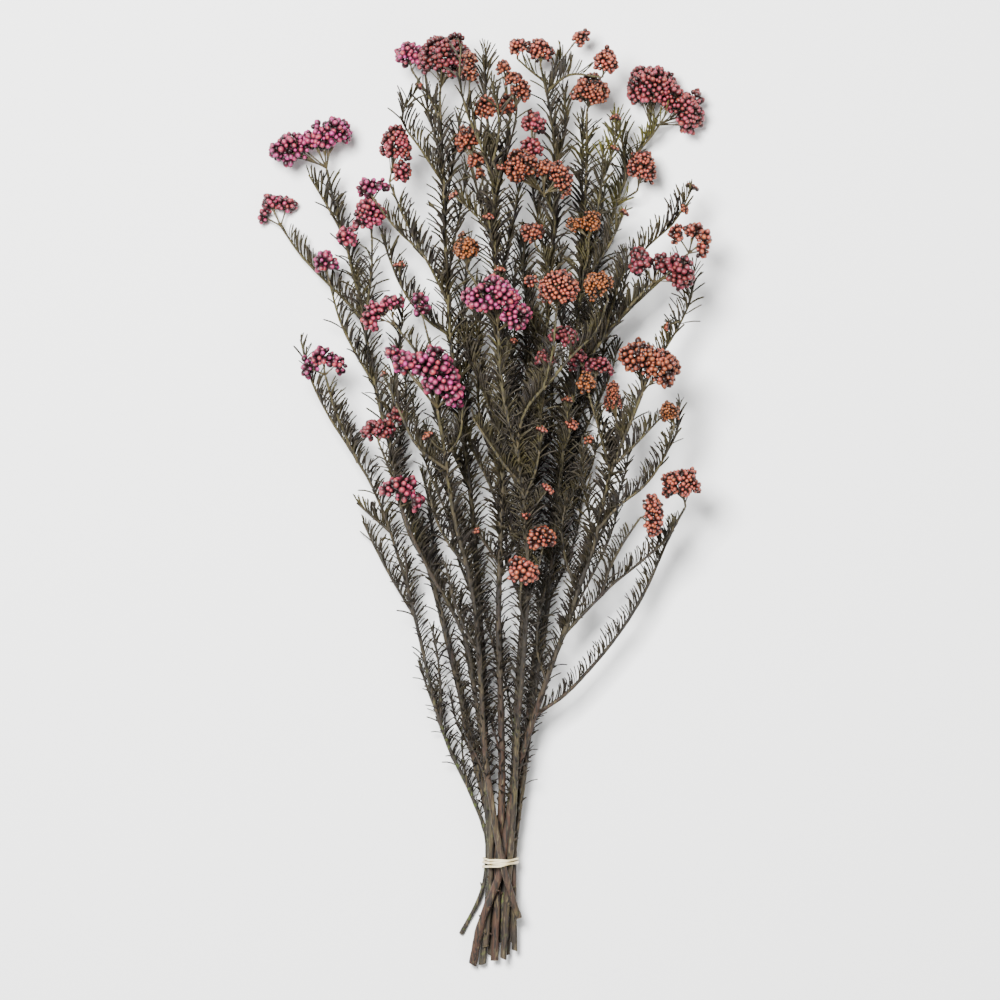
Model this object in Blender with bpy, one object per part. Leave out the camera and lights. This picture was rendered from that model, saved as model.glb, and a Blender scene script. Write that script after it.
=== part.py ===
"""A bunch of preserved rice flower, cut and tied, lying on its back on a table.

Twelve cut stems pass through one tie band and fan out above it. Each stem carries side twigs set with
needle leaves, and most twigs end in a flower head: clusters of small round buds on a few short stalks.
The bunch lies along +Y, with the flower heads at the +Y end and the table at z = 0. Positions and sizes
in the plan are millimetres, and the meshes are metres.
"""

import math
import random
from collections import namedtuple
from types import SimpleNamespace

import bmesh
import bpy
import numpy as np
from mathutils import Matrix, Vector

MM = 0.001
SEED = 7
GOLDEN_ANGLE = math.pi * (3 - math.sqrt(5))

# Clearances between one piece and the next
SEAT_GAP = 0.3
CLEARANCE = 0.5
FLOOR_GAP = 0.4
EASING_ROUNDS = 260
SMOOTHED_ROUNDS = 100

# Stems and twigs: their sides, and the distance from one ring of needle leaves to the next
STEM_SIDES = 5
TWIG_SIDES = 3
STEM_RING = 27.0
TWIG_RING = 25.0
BARE_RING = 34.0

# Needle leaves, which start where the stems are no longer bare
NEEDLE_LENGTH = 12.5
NEEDLE_RADIUS = 0.7
NEEDLE_FOOT = 1.7
NEEDLE_LEAN = math.radians(45)
NEEDLES_A_RING = 3
TIP_NEEDLE = 9.0
LEAFY_FROM = -172.0

# Buds and their stalks. Buds stand a pitch apart on a lobe, down to the height UNDERSIDE on it, with
# valleys at a share of the lobe's depth, and few of them where another lobe of the head hides them.
BUD_PITCH = 8.9
BUD_RADIUS = 2.4
VALLEY = 0.93
UNDERSIDE = -0.15
HIDDEN = 0.86
STALK_RADIUS = 0.7
STALK_START = 1.5

# Tie band: each of its turns has a place along the stems and a slant
TIE_AT = -231.2
TIE_WIDTH = 2.3
TIE_THICKNESS = 1.2
TIE_SIDES = 14
TIE_ROOM = 2.9
TIE_TURNS = ((1.9, 0.0), (-0.2, 0.0), (-1.4, 0.16))

# What a shoot bears at its tip (a head's name, or a number of loose buds), its radius at the base and
# at the tip, and its route from the base. The first shoot of a stem is the cut stem itself.
Shoot = namedtuple("Shoot", "bears base tip route")

STEMS = {
    "stem_outer_left": [
        Shoot(0, 1.4, 0.7, [(-14, -278, 2), (-5, -260, 3), (1.6, -243.8, 4.2), (3.5, -231.2, 4.2),
            (2.2, -216.1, 4.6), (-3, -197, 6), (-17, -169, 10), (-29, -136, 14), (-37, -101, 17),
            (-45, -67, 20), (-56, -29, 24), (-68, 4, 28), (-83, 30, 32), (-102, 61, 36),
            (-113, 89, 38), (-115, 101, 40)]),
        Shoot("head_04", 1, 0.72, [(-79, 23, 31), (-91, 50, 38), (-97, 69, 42), (-99, 77, 44)]),
        Shoot(0, 0.9, 0.65, [(-61, -21, 25), (-73, -11, 22), (-82, -3, 20)]),
        Shoot(0, 1, 0.72, [(-44, -74, 19), (-53, -60, 14), (-68, -33, 10), (-77, -14, 9)]),
        Shoot(0, 0.9, 0.65, [(-47, -59, 21), (-48, -45, 28), (-49, -33, 33)]),
        Shoot(0, 0.9, 0.65, [(-26, -142, 14), (-26, -117, 21), (-28, -98, 26), (-31, -81, 29)]),
        Shoot(0, 0.9, 0.65, [(-29, -137, 14), (-35, -122, 9), (-41, -104, 7)]),
    ],
    "stem_far_left": [
        Shoot("head_01", 2.8, 0.8, [(4, -292, 3), (6, -268, 3.5), (7.9, -246.3, 4), (8.5, -231.2, 4.2),
            (7.2, -216.1, 4.8), (1, -193, 6.5), (-5, -168, 8), (-11, -139, 9), (-19, -105, 10),
            (-29, -64, 11.5), (-39, -29, 12.5), (-51, 4, 13.5), (-59, 34, 14), (-66, 62, 14.5),
            (-73, 94, 15), (-77, 122, 16.5), (-83, 149, 18), (-90, 171, 19), (-96, 195, 20),
            (-99, 209, 21)]),
        Shoot(0, 0.9, 0.65, [(-90, 169, 19), (-99, 185, 25), (-106, 196, 30), (-111, 205, 33)]),
        Shoot("head_02", 0.9, 0.65, [(-77, 114, 16), (-89, 127, 14), (-104, 142, 12), (-119, 159, 10),
            (-128, 173, 8)]),
        Shoot("head_03", 0.9, 0.65, [(-69, 72, 15), (-82, 94, 19), (-91, 114, 24), (-97, 137, 28)]),
        Shoot("head_05", 0.9, 0.65, [(-78, 132, 17), (-82, 143, 22), (-85, 154, 27)]),
        Shoot("head_06", 0.9, 0.65, [(-75, 109, 16), (-72, 132, 23), (-70, 149, 29), (-70, 164, 34)]),
        Shoot(0, 0.9, 0.65, [(-54, 18, 13.5), (-51, 43, 9), (-48, 66, 7), (-49, 84, 6)]),
        Shoot(0, 0.9, 0.65, [(-33, -49, 12), (-32, -26, 7), (-34, -4, 5), (-39, 18, 4)]),
    ],
    "stem_top_left": [
        Shoot("head_09", 2.2, 0.9, [(0, -298, 6), (3, -275, 7), (5.9, -249.5, 8.6), (7.1, -231.2, 9),
            (6.5, -213.6, 9.8), (4, -190, 11.5), (3, -155, 14), (2, -114, 18), (-1, -76, 21.5),
            (-4, -38, 25), (-7, -1, 29), (-11, 31, 32), (-15, 62, 35), (-20, 97, 38), (-22, 132, 41),
            (-24, 173, 43), (-25, 214, 45), (-27, 240, 46), (-27, 254, 46)]),
        Shoot("head_08", 0.9, 0.65, [(-26, 239, 46), (-33, 253, 41), (-40, 264, 37), (-44, 270, 35)]),
        Shoot(1, 0.8, 0.58, [(-25, 199, 44), (-34, 210, 50), (-45, 222, 55), (-54, 236, 58),
            (-53, 249, 59), (-44, 255, 58)]),
        Shoot("head_07", 0.9, 0.65, [(-22, 123, 40), (-33, 146, 46), (-44, 166, 51), (-53, 185, 54),
            (-58, 198, 56)]),
        Shoot("head_10", 0.8, 0.58, [(-38, 155, 48), (-49, 164, 46), (-60, 178, 46), (-68, 188, 47)]),
        Shoot(0, 0.9, 0.65, [(-20, 103, 38.5), (-33, 112, 35), (-44, 123, 32), (-54, 140, 30),
            (-60, 157, 29), (-64, 168, 28)]),
        Shoot(2, 0.7, 0.5, [(-52, 136, 30), (-53, 147, 33)]),
        Shoot(0, 0.9, 0.65, [(-8, 6, 30), (-19, 30, 24), (-27, 51, 20), (-29, 72, 18)]),
        Shoot(0, 0.9, 0.65, [(-2, -70, 22), (-13, -46, 16), (-19, -26, 13), (-23, -4, 12)]),
        Shoot(0, 0.9, 0.65, [(-17, 72, 36), (-5, 94, 32), (-2, 116, 30), (-2, 138, 29)]),
    ],
    "stem_front_left": [
        Shoot("head_11", 2.3, 1, [(23, -268, 14), (19.2, -252, 17), (14.8, -240, 20),
            (11.7, -228.7, 20.8), (9.1, -213.6, 21.5), (5, -190, 24.5), (1, -155, 30), (-1, -120, 38),
            (-3, -89, 46), (-7, -54, 55), (-13, -32, 61), (-18, -10, 67), (-21, 9, 72), (-23, 26, 77),
            (-26, 43, 83), (-28, 55, 86)]),
        Shoot("head_12", 0.9, 0.65, [(-26, 40, 81), (-32, 64, 74), (-39, 86, 68), (-47, 100, 66),
            (-54, 108, 65)]),
        Shoot("head_13", 0.8, 0.58, [(-33, 69, 73), (-31, 88, 71), (-35, 105, 72)]),
        Shoot(1, 0.9, 0.65, [(-22, 18, 76), (-32, 25, 81), (-44, 37, 84), (-51, 53, 85), (-54, 66, 84),
            (-61, 76, 82)]),
        Shoot(0, 0.8, 0.58, [(-23, 26, 77), (-17, 34, 84), (-12, 45, 90), (-12, 57, 93)]),
        Shoot(2, 0.7, 0.5, [(-24, 30, 78), (-29, 33, 84), (-34, 39, 87)]),
        Shoot(0, 0.9, 0.65, [(-10, -43, 58), (-23, -26, 62), (-31, -8, 66), (-34, 9, 70)]),
        Shoot(0, 0.9, 0.65, [(-2, -98, 44), (-13, -77, 50), (-19, -59, 55), (-23, -40, 59)]),
    ],
    "stem_mid_left": [
        Shoot("head_15", 1.9, 0.9, [(-1, -286, 9), (1, -268, 9.5), (3.5, -247.6, 11.5),
            (4.4, -231.2, 12.8), (4.7, -216.1, 14), (5, -190, 18), (0, -158, 23), (-5, -123, 29),
            (-10, -92, 36), (-19, -71, 42), (-27, -56, 47), (-36, -42, 52), (-44, -23, 57),
            (-51, -6, 60)]),
        Shoot("head_14", 0.9, 0.65, [(-36, -42, 52), (-48, -20, 46), (-56, 9, 48), (-61, 26, 55),
            (-65, 35, 59)]),
        Shoot(0, 0.9, 0.65, [(-17, -74, 41), (-28, -54, 37), (-37, -32, 34), (-42, -10, 32)]),
    ],
    "stem_centre": [
        Shoot("head_16", 2.1, 1, [(13, -294, 12.5), (14, -272, 13), (15.4, -249.5, 15.5),
            (16.1, -231.2, 17.6), (16.7, -216.1, 18.6), (19, -190, 24), (21, -152, 33), (24, -120, 42),
            (27, -89, 52), (29, -57, 62), (29, -26, 71), (27, -1, 78), (24, 21, 84), (19, 40, 88),
            (14, 62, 93), (11, 84, 97), (10, 103, 100)]),
        Shoot(0, 0.9, 0.65, [(26, 9, 80), (16, 20, 89), (5, 36, 95), (-5, 51, 98)]),
        Shoot(2, 0.8, 0.58, [(27, -1, 78), (34, 17, 86), (38, 33, 90), (38, 42, 92)]),
        Shoot("head_18", 1.1, 0.79, [(25, 18, 83), (24, 42, 90), (29, 57, 93), (41, 71, 93),
            (55, 88, 92), (67, 100, 90), (76, 112, 88), (78, 123, 87)]),
        Shoot("head_17", 0.9, 0.65, [(38, 69, 93), (43, 88, 97), (45, 103, 99), (46, 115, 100)]),
        Shoot("head_19", 0.9, 0.65, [(27, -1, 78), (33, 28, 76), (37, 53, 76), (39, 72, 77)]),
        Shoot("head_21", 0.8, 0.58, [(29, -64, 60), (34, -50, 66), (37, -34, 71)]),
        Shoot("head_20", 0.8, 0.58, [(28, -79, 55), (24, -67, 66), (24, -57, 75)]),
        Shoot(3, 0.8, 0.58, [(29, -29, 70), (39, -12, 78), (46, 4, 82)]),
        Shoot(1, 0.7, 0.5, [(29, -33, 69), (32, -21, 75), (32, -13, 78)]),
    ],
    "stem_centre_top": [
        Shoot("head_22", 2.6, 0.8, [(7, -296, 7), (8, -272, 7.5), (9.1, -248.2, 9.5),
            (9.4, -231.2, 12.9), (10.4, -216.1, 14.4), (12, -190, 18), (12, -152, 24), (11, -114, 31),
            (10, -76, 38), (11, -38, 44), (12, -1, 50), (13, 37, 55), (11, 75, 60), (9, 113, 63),
            (8, 151, 66), (7, 188, 68), (5, 217, 69), (3, 235, 70)]),
        Shoot("head_23", 0.9, 0.65, [(7, 193, 68), (13, 210, 63), (16, 226, 61), (17, 238, 60)]),
        Shoot("head_24", 0.9, 0.65, [(7, 201, 68.5), (-1, 223, 73), (-6, 241, 74), (-8, 253, 74)]),
        Shoot(0, 0.8, 0.58, [(-1, 223, 73), (-10, 244, 80), (-14, 264, 83), (-13, 283, 85)]),
        Shoot(0, 0.8, 0.58, [(6, 210, 69), (10, 226, 78), (10, 244, 84), (6, 260, 87)]),
        Shoot("head_25", 0.8, 0.58, [(8, 157, 66), (5, 179, 60), (1, 195, 56), (0, 200, 55)]),
        Shoot("head_26", 0.9, 0.65, [(10, 97, 62), (3, 122, 66), (-5, 136, 69), (-9, 143, 70)]),
        Shoot(2, 0.7, 0.5, [(8, 163, 66.5), (-2, 176, 71), (-11, 185, 73), (-17, 190, 74)]),
        Shoot(1, 0.7, 0.5, [(7, 188, 68), (10, 198, 75), (12, 207, 78)]),
        Shoot(2, 0.7, 0.5, [(8, 157, 66), (5, 168, 73), (4, 176, 76)]),
        Shoot(2, 0.7, 0.5, [(9, 122, 63.5), (11, 134, 70), (11, 143, 73)]),
        Shoot(1, 0.7, 0.5, [(11, 77, 60), (16, 90, 66), (19, 98, 68)]),
        Shoot(1, 0.8, 0.58, [(11, -42, 43.5), (3, -30, 50), (-3, -21, 53)]),
        Shoot(0, 0.9, 0.65, [(12, 12, 52), (2, 37, 46), (-3, 59, 44), (-3, 81, 44)]),
        Shoot(0, 0.9, 0.65, [(11, -51, 42), (20, -29, 38), (22, -4, 36), (20, 18, 36)]),
    ],
    "stem_centre_right": [
        Shoot("head_28", 2.2, 0.8, [(9, -284, 4), (10, -262, 5), (11.7, -243.8, 8),
            (11.7, -231.2, 8.6), (12.9, -216.1, 9.4), (17, -190, 11.5), (20, -152, 14.5),
            (22, -114, 17), (25, -76, 19.5), (28, -38, 22), (31, -1, 24), (34, 37, 26), (37, 75, 28),
            (41, 113, 29), (44, 151, 30), (46, 188, 31), (46, 214, 31.5), (44, 240, 32),
            (39, 260, 32.5), (37, 273, 33)]),
        Shoot("head_27", 0.8, 0.58, [(38, 265, 32.5), (31, 270, 38), (25, 275, 42), (23, 277, 43)]),
        Shoot("head_29", 0.8, 0.58, [(41, 256, 32.5), (47, 273, 27), (53, 283, 25), (57, 288, 24)]),
        Shoot("head_30", 0.9, 0.65, [(40, 258, 32.5), (50, 266, 40), (63, 270, 46), (74, 266, 48)]),
        Shoot("head_31", 0.8, 0.58, [(46, 195, 31), (41, 200, 40), (35, 206, 46), (32, 210, 48)]),
        Shoot("head_32", 0.9, 0.65, [(45, 164, 30.5), (46, 175, 44), (43, 183, 57), (39, 190, 64)]),
        Shoot("head_33", 0.8, 0.58, [(43, 141, 30), (39, 152, 40), (34, 159, 47)]),
        Shoot(0, 0.9, 0.65, [(46, 210, 31.5), (51, 227, 26), (53, 245, 23), (51, 261, 22)]),
        Shoot(0, 0.9, 0.65, [(32, 15, 25), (42, 37, 18), (44, 59, 16), (43, 83, 16)]),
        Shoot(0, 0.9, 0.65, [(26, -67, 20), (17, -45, 14), (15, -23, 12), (15, 1, 12)]),
        Shoot(0, 0.9, 0.65, [(39, 97, 28.5), (29, 119, 23), (26, 141, 21), (26, 163, 21)]),
    ],
    "stem_top_right": [
        Shoot("head_34", 1.9, 0.8, [(15, -292, 6.5), (15, -272, 7), (16.7, -247.6, 8),
            (17, -231.2, 8.6), (18.6, -216.1, 9.4), (22, -190, 12), (27, -152, 14.5), (31, -114, 17.5),
            (36, -76, 20), (41, -38, 22), (46, -1, 24), (50, 37, 26), (55, 75, 27), (60, 113, 28),
            (63, 149, 29), (65, 188, 30), (66, 220, 31), (66, 244, 32)]),
        Shoot(0, 0.9, 0.65, [(64, 154, 29), (71, 173, 36), (75, 195, 40), (77, 214, 42), (77, 224, 43)]),
        Shoot(2, 0.7, 0.5, [(76, 200, 40.5), (81, 211, 44), (83, 220, 46)]),
        Shoot(2, 0.6, 0.43, [(82, 214, 45), (85, 227, 49), (85, 239, 51)]),
        Shoot(2, 0.8, 0.58, [(62, 136, 28.5), (74, 151, 34), (83, 166, 38), (89, 180, 40)]),
        Shoot("head_35", 0.8, 0.58, [(63, 141, 29), (67, 153, 40), (67, 163, 47)]),
        Shoot(2, 0.7, 0.5, [(60, 110, 28), (68, 113, 34), (76, 117, 38)]),
        Shoot(0, 0.9, 0.65, [(57, 93, 27), (49, 114, 22), (48, 137, 20), (50, 160, 19)]),
        Shoot(0, 0.9, 0.65, [(43, -20, 23), (53, 4, 17), (55, 28, 15), (55, 51, 14)]),
    ],
    "stem_far_right": [
        Shoot("head_36", 2.2, 0.9, [(16, -283, 2.5), (15, -262, 3), (14.5, -243.2, 4),
            (13.9, -231.2, 4.2), (15.4, -216.1, 4.4), (21, -190, 5), (27, -152, 5), (34, -114, 5.5),
            (40, -76, 6), (46, -38, 6.5), (53, -1, 7), (58, 37, 7.5), (63, 75, 8), (66, 113, 8.5),
            (73, 147, 9), (82, 178, 9.5), (90, 202, 10), (99, 221, 10.5), (106, 235, 11)]),
        Shoot("head_37", 0.8, 0.58, [(86, 189, 10), (92, 192, 15), (97, 195, 20)]),
        Shoot(0, 0.8, 0.58, [(100, 222, 10.5), (107, 230, 20), (114, 238, 26), (118, 246, 29)]),
        Shoot(0, 0.8, 0.58, [(91, 203, 10), (90, 220, 16), (87, 234, 18), (83, 246, 20)]),
        Shoot(0, 0.9, 0.65, [(60, 50, 7.5), (72, 72, 6), (77, 94, 5), (79, 118, 5)]),
        Shoot(0, 0.9, 0.65, [(43, -64, 6), (54, -42, 5), (61, -20, 4.5), (65, 3, 4.5)]),
    ],
    "stem_right": [
        Shoot("head_39", 1.9, 0.8, [(20, -289, 9), (19, -272, 10), (19.2, -249.5, 12),
            (18.9, -231.2, 13), (20.5, -216.1, 13.8), (24, -190, 16), (29, -152, 20), (34, -114, 24),
            (39, -76, 28), (44, -38, 31), (48, -1, 34), (51, 31, 37), (56, 62, 40), (65, 84, 42),
            (76, 101, 44), (85, 112, 45), (97, 124, 46), (109, 135, 47.5), (120, 147, 49),
            (129, 154, 50)]),
        Shoot(3, 0.8, 0.58, [(76, 101, 44), (82, 123, 51), (87, 140, 55), (99, 155, 55),
            (112, 166, 51), (123, 178, 47), (128, 188, 45), (132, 196, 44)]),
        Shoot(2, 0.7, 0.5, [(124, 180, 47), (127, 182, 50)]),
        Shoot("head_38", 0.9, 0.65, [(85, 112, 45), (93, 122, 57), (100, 130, 62), (106, 135, 64)]),
        Shoot(3, 0.8, 0.58, [(51, 31, 37), (54, 38, 48), (56, 46, 56)]),
        Shoot(2, 0.6, 0.43, [(55, 42, 52), (53, 54, 58), (53, 61, 60)]),
        Shoot(0, 0.9, 0.65, [(41, -64, 29), (32, -42, 34), (30, -20, 38), (32, 1, 41)]),
    ],
    "stem_outer_right": [
        Shoot("head_43", 2.6, 1, [(-5, -299, 4), (-2, -281, 9), (3, -262, 14.5), (9.8, -245.1, 15),
            (14.5, -231.2, 13), (16.7, -216.1, 14.8), (20, -190, 19), (24, -171, 22), (30, -149, 27),
            (34, -137, 30), (44, -105, 37), (52, -87, 41), (57, -66, 45), (65, -45, 50), (73, -20, 55),
            (77, 6, 60), (83, 23, 63), (90, 40, 67), (94, 57, 70), (100, 66, 74)]),
        Shoot("head_44", 0.9, 0.65, [(73, -20, 55), (82, -8, 60), (94, 1, 63), (106, 13, 64),
            (116, 30, 65), (120, 45, 65)]),
        Shoot(0, 0.8, 0.58, [(114, 27, 65), (122, 42, 58), (124, 60, 52)]),
        Shoot(0, 0.8, 0.58, [(83, 20, 62.5), (94, 31, 70), (104, 41, 74), (113, 51, 77)]),
        Shoot("head_45", 1, 0.72, [(52, -87, 41), (63, -75, 44), (76, -60, 47), (88, -50, 49),
            (102, -38, 51), (114, -27, 53), (123, -16, 55), (127, -6, 56)]),
        Shoot("head_46", 0.9, 0.65, [(75, -60, 47), (79, -46, 56), (86, -32, 62), (93, -20, 65),
            (98, -13, 66)]),
        Shoot(0, 1.2, 0.86, [(34, -137, 30), (48, -128, 30), (63, -114, 30), (76, -98, 31),
            (88, -84, 32), (98, -67, 33), (107, -50, 35), (114, -33, 37), (123, -13, 40)]),
        Shoot("head_42", 0.8, 0.58, [(90, 39, 66.5), (85, 47, 63)]),
        Shoot("head_40", 0.9, 0.65, [(83, 21, 62.5), (77, 43, 58), (73, 61, 57), (71, 73, 59)]),
        Shoot("head_41", 0.8, 0.58, [(81, 15, 62), (75, 37, 72), (70, 53, 80), (67, 63, 84)]),
        Shoot(2, 0.7, 0.5, [(77, 36, 71), (72, 32, 77), (69, 37, 81)]),
        Shoot(0, 0.9, 0.65, [(87, 33, 65), (95, 53, 56), (104, 75, 50), (114, 93, 46), (126, 113, 43),
            (132, 129, 41), (134, 147, 40)]),
        Shoot(1, 0.6, 0.43, [(125, 112, 43), (121, 111, 49), (117, 109, 51)]),
        Shoot(0, 0.9, 0.65, [(60, -59, 46.5), (53, -40, 52), (50, -20, 57), (53, 1, 61)]),
        Shoot(0, 0.9, 0.65, [(41, -115, 34), (35, -95, 40), (36, -75, 46), (40, -56, 51)]),
    ],
}
HEADS = {
    "head_01": ("magenta", [(-123, 222, 21, 29, 21), (-107, 227, 22, 19, 18), (-95, 232, 22, 25, 20)]),
    "head_02": ("pink", [(-136, 189, 6.1, 13, 14), (-125, 186, 6.6, 13, 13), (-139, 180, 6.6, 9, 9)]),
    "head_03": ("magenta", [(-100, 149, 30, 15, 16)]),
    "head_04": ("magenta", [(-110, 83, 46, 13, 13), (-101, 89, 47, 15, 13), (-92, 85, 46, 11, 13)]),
    "head_05": ("pink", [(-86, 166, 31, 15, 16)]),
    "head_06": ("pink", [(-72, 179, 38, 22, 23)]),
    "head_07": ("rose", [(-54, 222, 58, 20, 28), (-51, 205, 58, 14, 14)]),
    "head_08": ("magenta", [(-47, 281, 34, 19, 19)]),
    "head_09": ("dark_rose", [(-23, 277, 47, 33, 33)]),
    "head_10": ("magenta", [(-72, 196, 48, 14, 14), (-63, 198, 48, 9, 9)]),
    "head_11": ("magenta", [(-31, 82, 93, 27, 24), (-20, 66, 92, 19, 23), (-48, 84, 92, 18, 18),
        (-56, 91, 92, 10, 11)]),
    "head_12": ("pink", [(-58, 122, 65, 18, 13), (-68, 115, 65, 14, 20)]),
    "head_13": ("magenta", [(-39, 120, 73, 10, 20)]),
    "head_14": ("dark_rose", [(-66, 43, 62, 25, 16), (-53, 52, 62, 11, 16)]),
    "head_15": ("pink", [(-51, 6, 63, 25, 15), (-42, -1, 63, 11, 11)]),
    "head_16": ("magenta", [(7, 125, 106, 38, 25), (20, 113, 105, 18, 18)]),
    "head_17": ("coral", [(47, 130, 101, 26, 24), (31, 135, 101, 9, 9)]),
    "head_18": ("orange", [(72, 133, 87, 20, 19)]),
    "head_19": ("dark_rose", [(51, 101, 79, 21, 15), (39, 87, 79, 15, 15)]),
    "head_20": ("coral", [(25, -46, 80, 21, 18)]),
    "head_21": ("coral", [(37, -25, 74, 16, 15)]),
    "head_22": ("rust", [(2, 244, 71, 15, 18)]),
    "head_23": ("rust", [(15, 246, 61, 13, 15), (24, 256, 61, 14, 14), (19, 264, 61, 13, 13),
        (13, 271, 61, 13, 11)]),
    "head_24": ("rust", [(-8, 269, 75, 11, 28)]),
    "head_25": ("rust", [(-10, 226, 54, 18, 19), (-3, 213, 54, 13, 14), (-1, 205, 55, 8, 10)]),
    "head_26": ("orange", [(-10, 156, 70, 16, 20)]),
    "head_27": ("coral", [(22, 285, 44, 14, 14)]),
    "head_28": ("coral", [(36, 283, 33, 15, 19)]),
    "head_29": ("coral", [(61, 292, 24, 11, 14)]),
    "head_30": ("coral", [(78, 275, 50, 15, 20)]),
    "head_31": ("rose", [(32, 236, 50, 16, 18), (31, 220, 50, 14, 18)]),
    "head_32": ("rust", [(24, 207, 70, 24, 23), (39, 207, 68, 13, 14), (49, 200, 66, 14, 25)]),
    "head_33": ("rust", [(32, 168, 50, 14, 15)]),
    "head_34": ("rust", [(69, 257, 33, 26, 23)]),
    "head_35": ("orange", [(68, 174, 50, 14, 15), (58, 173, 50, 11, 11)]),
    "head_36": ("rose", [(106, 262, 14.1, 34, 29), (129, 246, 14.1, 24, 32), (118, 255, 14.1, 21, 25)]),
    "head_37": ("coral", [(102, 210, 23, 18, 25)]),
    "head_38": ("dark_rose", [(100, 147, 67, 19, 20), (112, 147, 67, 13, 15), (123, 141, 67, 20, 24)]),
    "head_39": ("coral", [(123, 166, 52, 11, 14), (133, 168, 52, 14, 14), (140, 163, 52, 10, 15),
        (138, 156, 52, 9, 9)]),
    "head_40": ("dark_rose", [(72, 83, 60, 21, 16), (60, 88, 60, 14, 15)]),
    "head_41": ("orange", [(65, 72, 86, 14, 16)]),
    "head_42": ("rust", [(82, 62, 60, 11, 25)]),
    "head_43": ("rust", [(97, 88, 82, 26, 24), (112, 81, 81, 24, 27)]),
    "head_44": ("orange", [(117, 54, 66, 13, 14)]),
    "head_45": ("coral", [(125, 9, 59, 26, 21)]),
    "head_46": ("coral", [(106, -10, 68, 16, 29)]),
}

COLOURS = {
    "magenta": (0.30, 0.07, 0.19),
    "pink": (0.36, 0.11, 0.19),
    "rose": (0.32, 0.09, 0.14),
    "dark_rose": (0.20, 0.05, 0.07),
    "coral": (0.42, 0.13, 0.10),
    "rust": (0.34, 0.10, 0.05),
    "orange": (0.38, 0.15, 0.05),
}


def blend(first, second, share):
    return first + (second - first) * np.asarray(share)[..., None]


def unit(way):
    return way / np.linalg.norm(way)


def nearest_shares(a0, a1, b0, b1):
    """How far along each of two straight lines, from 0 to 1, the two come nearest to each other."""
    along_a, along_b, between = a1 - a0, b1 - b0, a0 - b0
    aa = np.maximum((along_a * along_a).sum(-1), 1e-9)
    bb = np.maximum((along_b * along_b).sum(-1), 1e-9)
    ab = (along_a * along_b).sum(-1)
    a_off, b_off = (along_a * between).sum(-1), (along_b * between).sum(-1)
    share_a = np.clip((ab * b_off - a_off * bb) / np.maximum(aa * bb - ab * ab, 1e-9), 0, 1)
    share_b = np.clip((ab * share_a + b_off) / bb, 0, 1)
    share_a = np.clip((ab * share_b - a_off) / aa, 0, 1)
    return share_a, share_b


def nearest_on(start, stop, point):
    """How far along each straight line, from 0 to 1, it comes nearest to the point."""
    along = stop - start
    share = ((point - start) * along).sum(-1) / np.maximum((along * along).sum(-1), 1e-9)
    return np.clip(share, 0, 1)


def resample(route, base, tip, ring):
    """Points a ring apart on a smooth curve through the route, wider apart where the stem is bare."""
    knots = [Vector(point) for point in route]
    knots = [2 * knots[0] - knots[1]] + knots + [2 * knots[-1] - knots[-2]]
    fine = []
    for before, start, stop, after in zip(knots, knots[1:], knots[2:], knots[3:]):
        for step in range(12):
            t = step / 12
            bend = 2 * start + (stop - before) * t
            bend += (2 * before - 5 * start + 4 * stop - after) * t**2
            bend += (3 * start - before - 3 * stop + after) * t**3
            fine.append(bend / 2)
    fine = np.array([*fine, knots[-2]])
    along = np.concatenate([[0], np.cumsum(np.linalg.norm(np.diff(fine, axis=0), axis=1))])
    leafy = fine[:, 1] > LEAFY_FROM
    measure = np.concatenate([[0], np.cumsum(np.diff(along) / np.where(leafy[1:], ring, BARE_RING))])
    count = max(2, math.ceil(measure[-1]))
    wanted = np.interp(np.linspace(0, measure[-1], count + 1), measure, along)
    points = np.stack([np.interp(wanted, along, fine[:, axis]) for axis in range(3)], axis=1)
    return points, base + (tip - base) * wanted / along[-1]


def lay_out_runs():
    """Every shoot as a run of points, each side shoot starting on the nearest shoot drawn before it."""
    runs = []
    for stem, shoots in STEMS.items():
        own = []
        for shoot in shoots:
            run = SimpleNamespace(stem=stem, bears=shoot.bears, joint=None, needles=[])
            ring = TWIG_RING if own else STEM_RING
            run.points, run.radii = resample(shoot.route, shoot.base, shoot.tip, ring)
            run.has_head = isinstance(shoot.bears, str)
            run.buds = 0 if run.has_head else shoot.bears
            if own:
                run.joint = nearest_joint(run.points[0], own)
            own.append(run)
        runs += own
    return runs


def nearest_joint(point, parents):
    """The parent shoot, the step along it and the share of that step where a side shoot starts."""
    joints = []
    for parent in parents:
        share = nearest_on(parent.points[:-1], parent.points[1:], point)
        away = np.linalg.norm(blend(parent.points[:-1], parent.points[1:], share) - point, axis=1)
        step = int(away.argmin())
        joints.append((away[step], parent, step, share[step]))
    return min(joints, key=lambda joint: joint[0])[1:]


def lobe_list():
    """Each lobe's head, centre and half sizes. A lobe is as deep as the smaller of its width and height."""
    lobes = []
    for head, (_, parts) in HEADS.items():
        for x, y, z, width, height in parts:
            half = np.array([width, height, min(width, height)]) / 2
            lobes.append(SimpleNamespace(head=head, centre=np.array([x, y, z], float), half=half))
    return lobes


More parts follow.
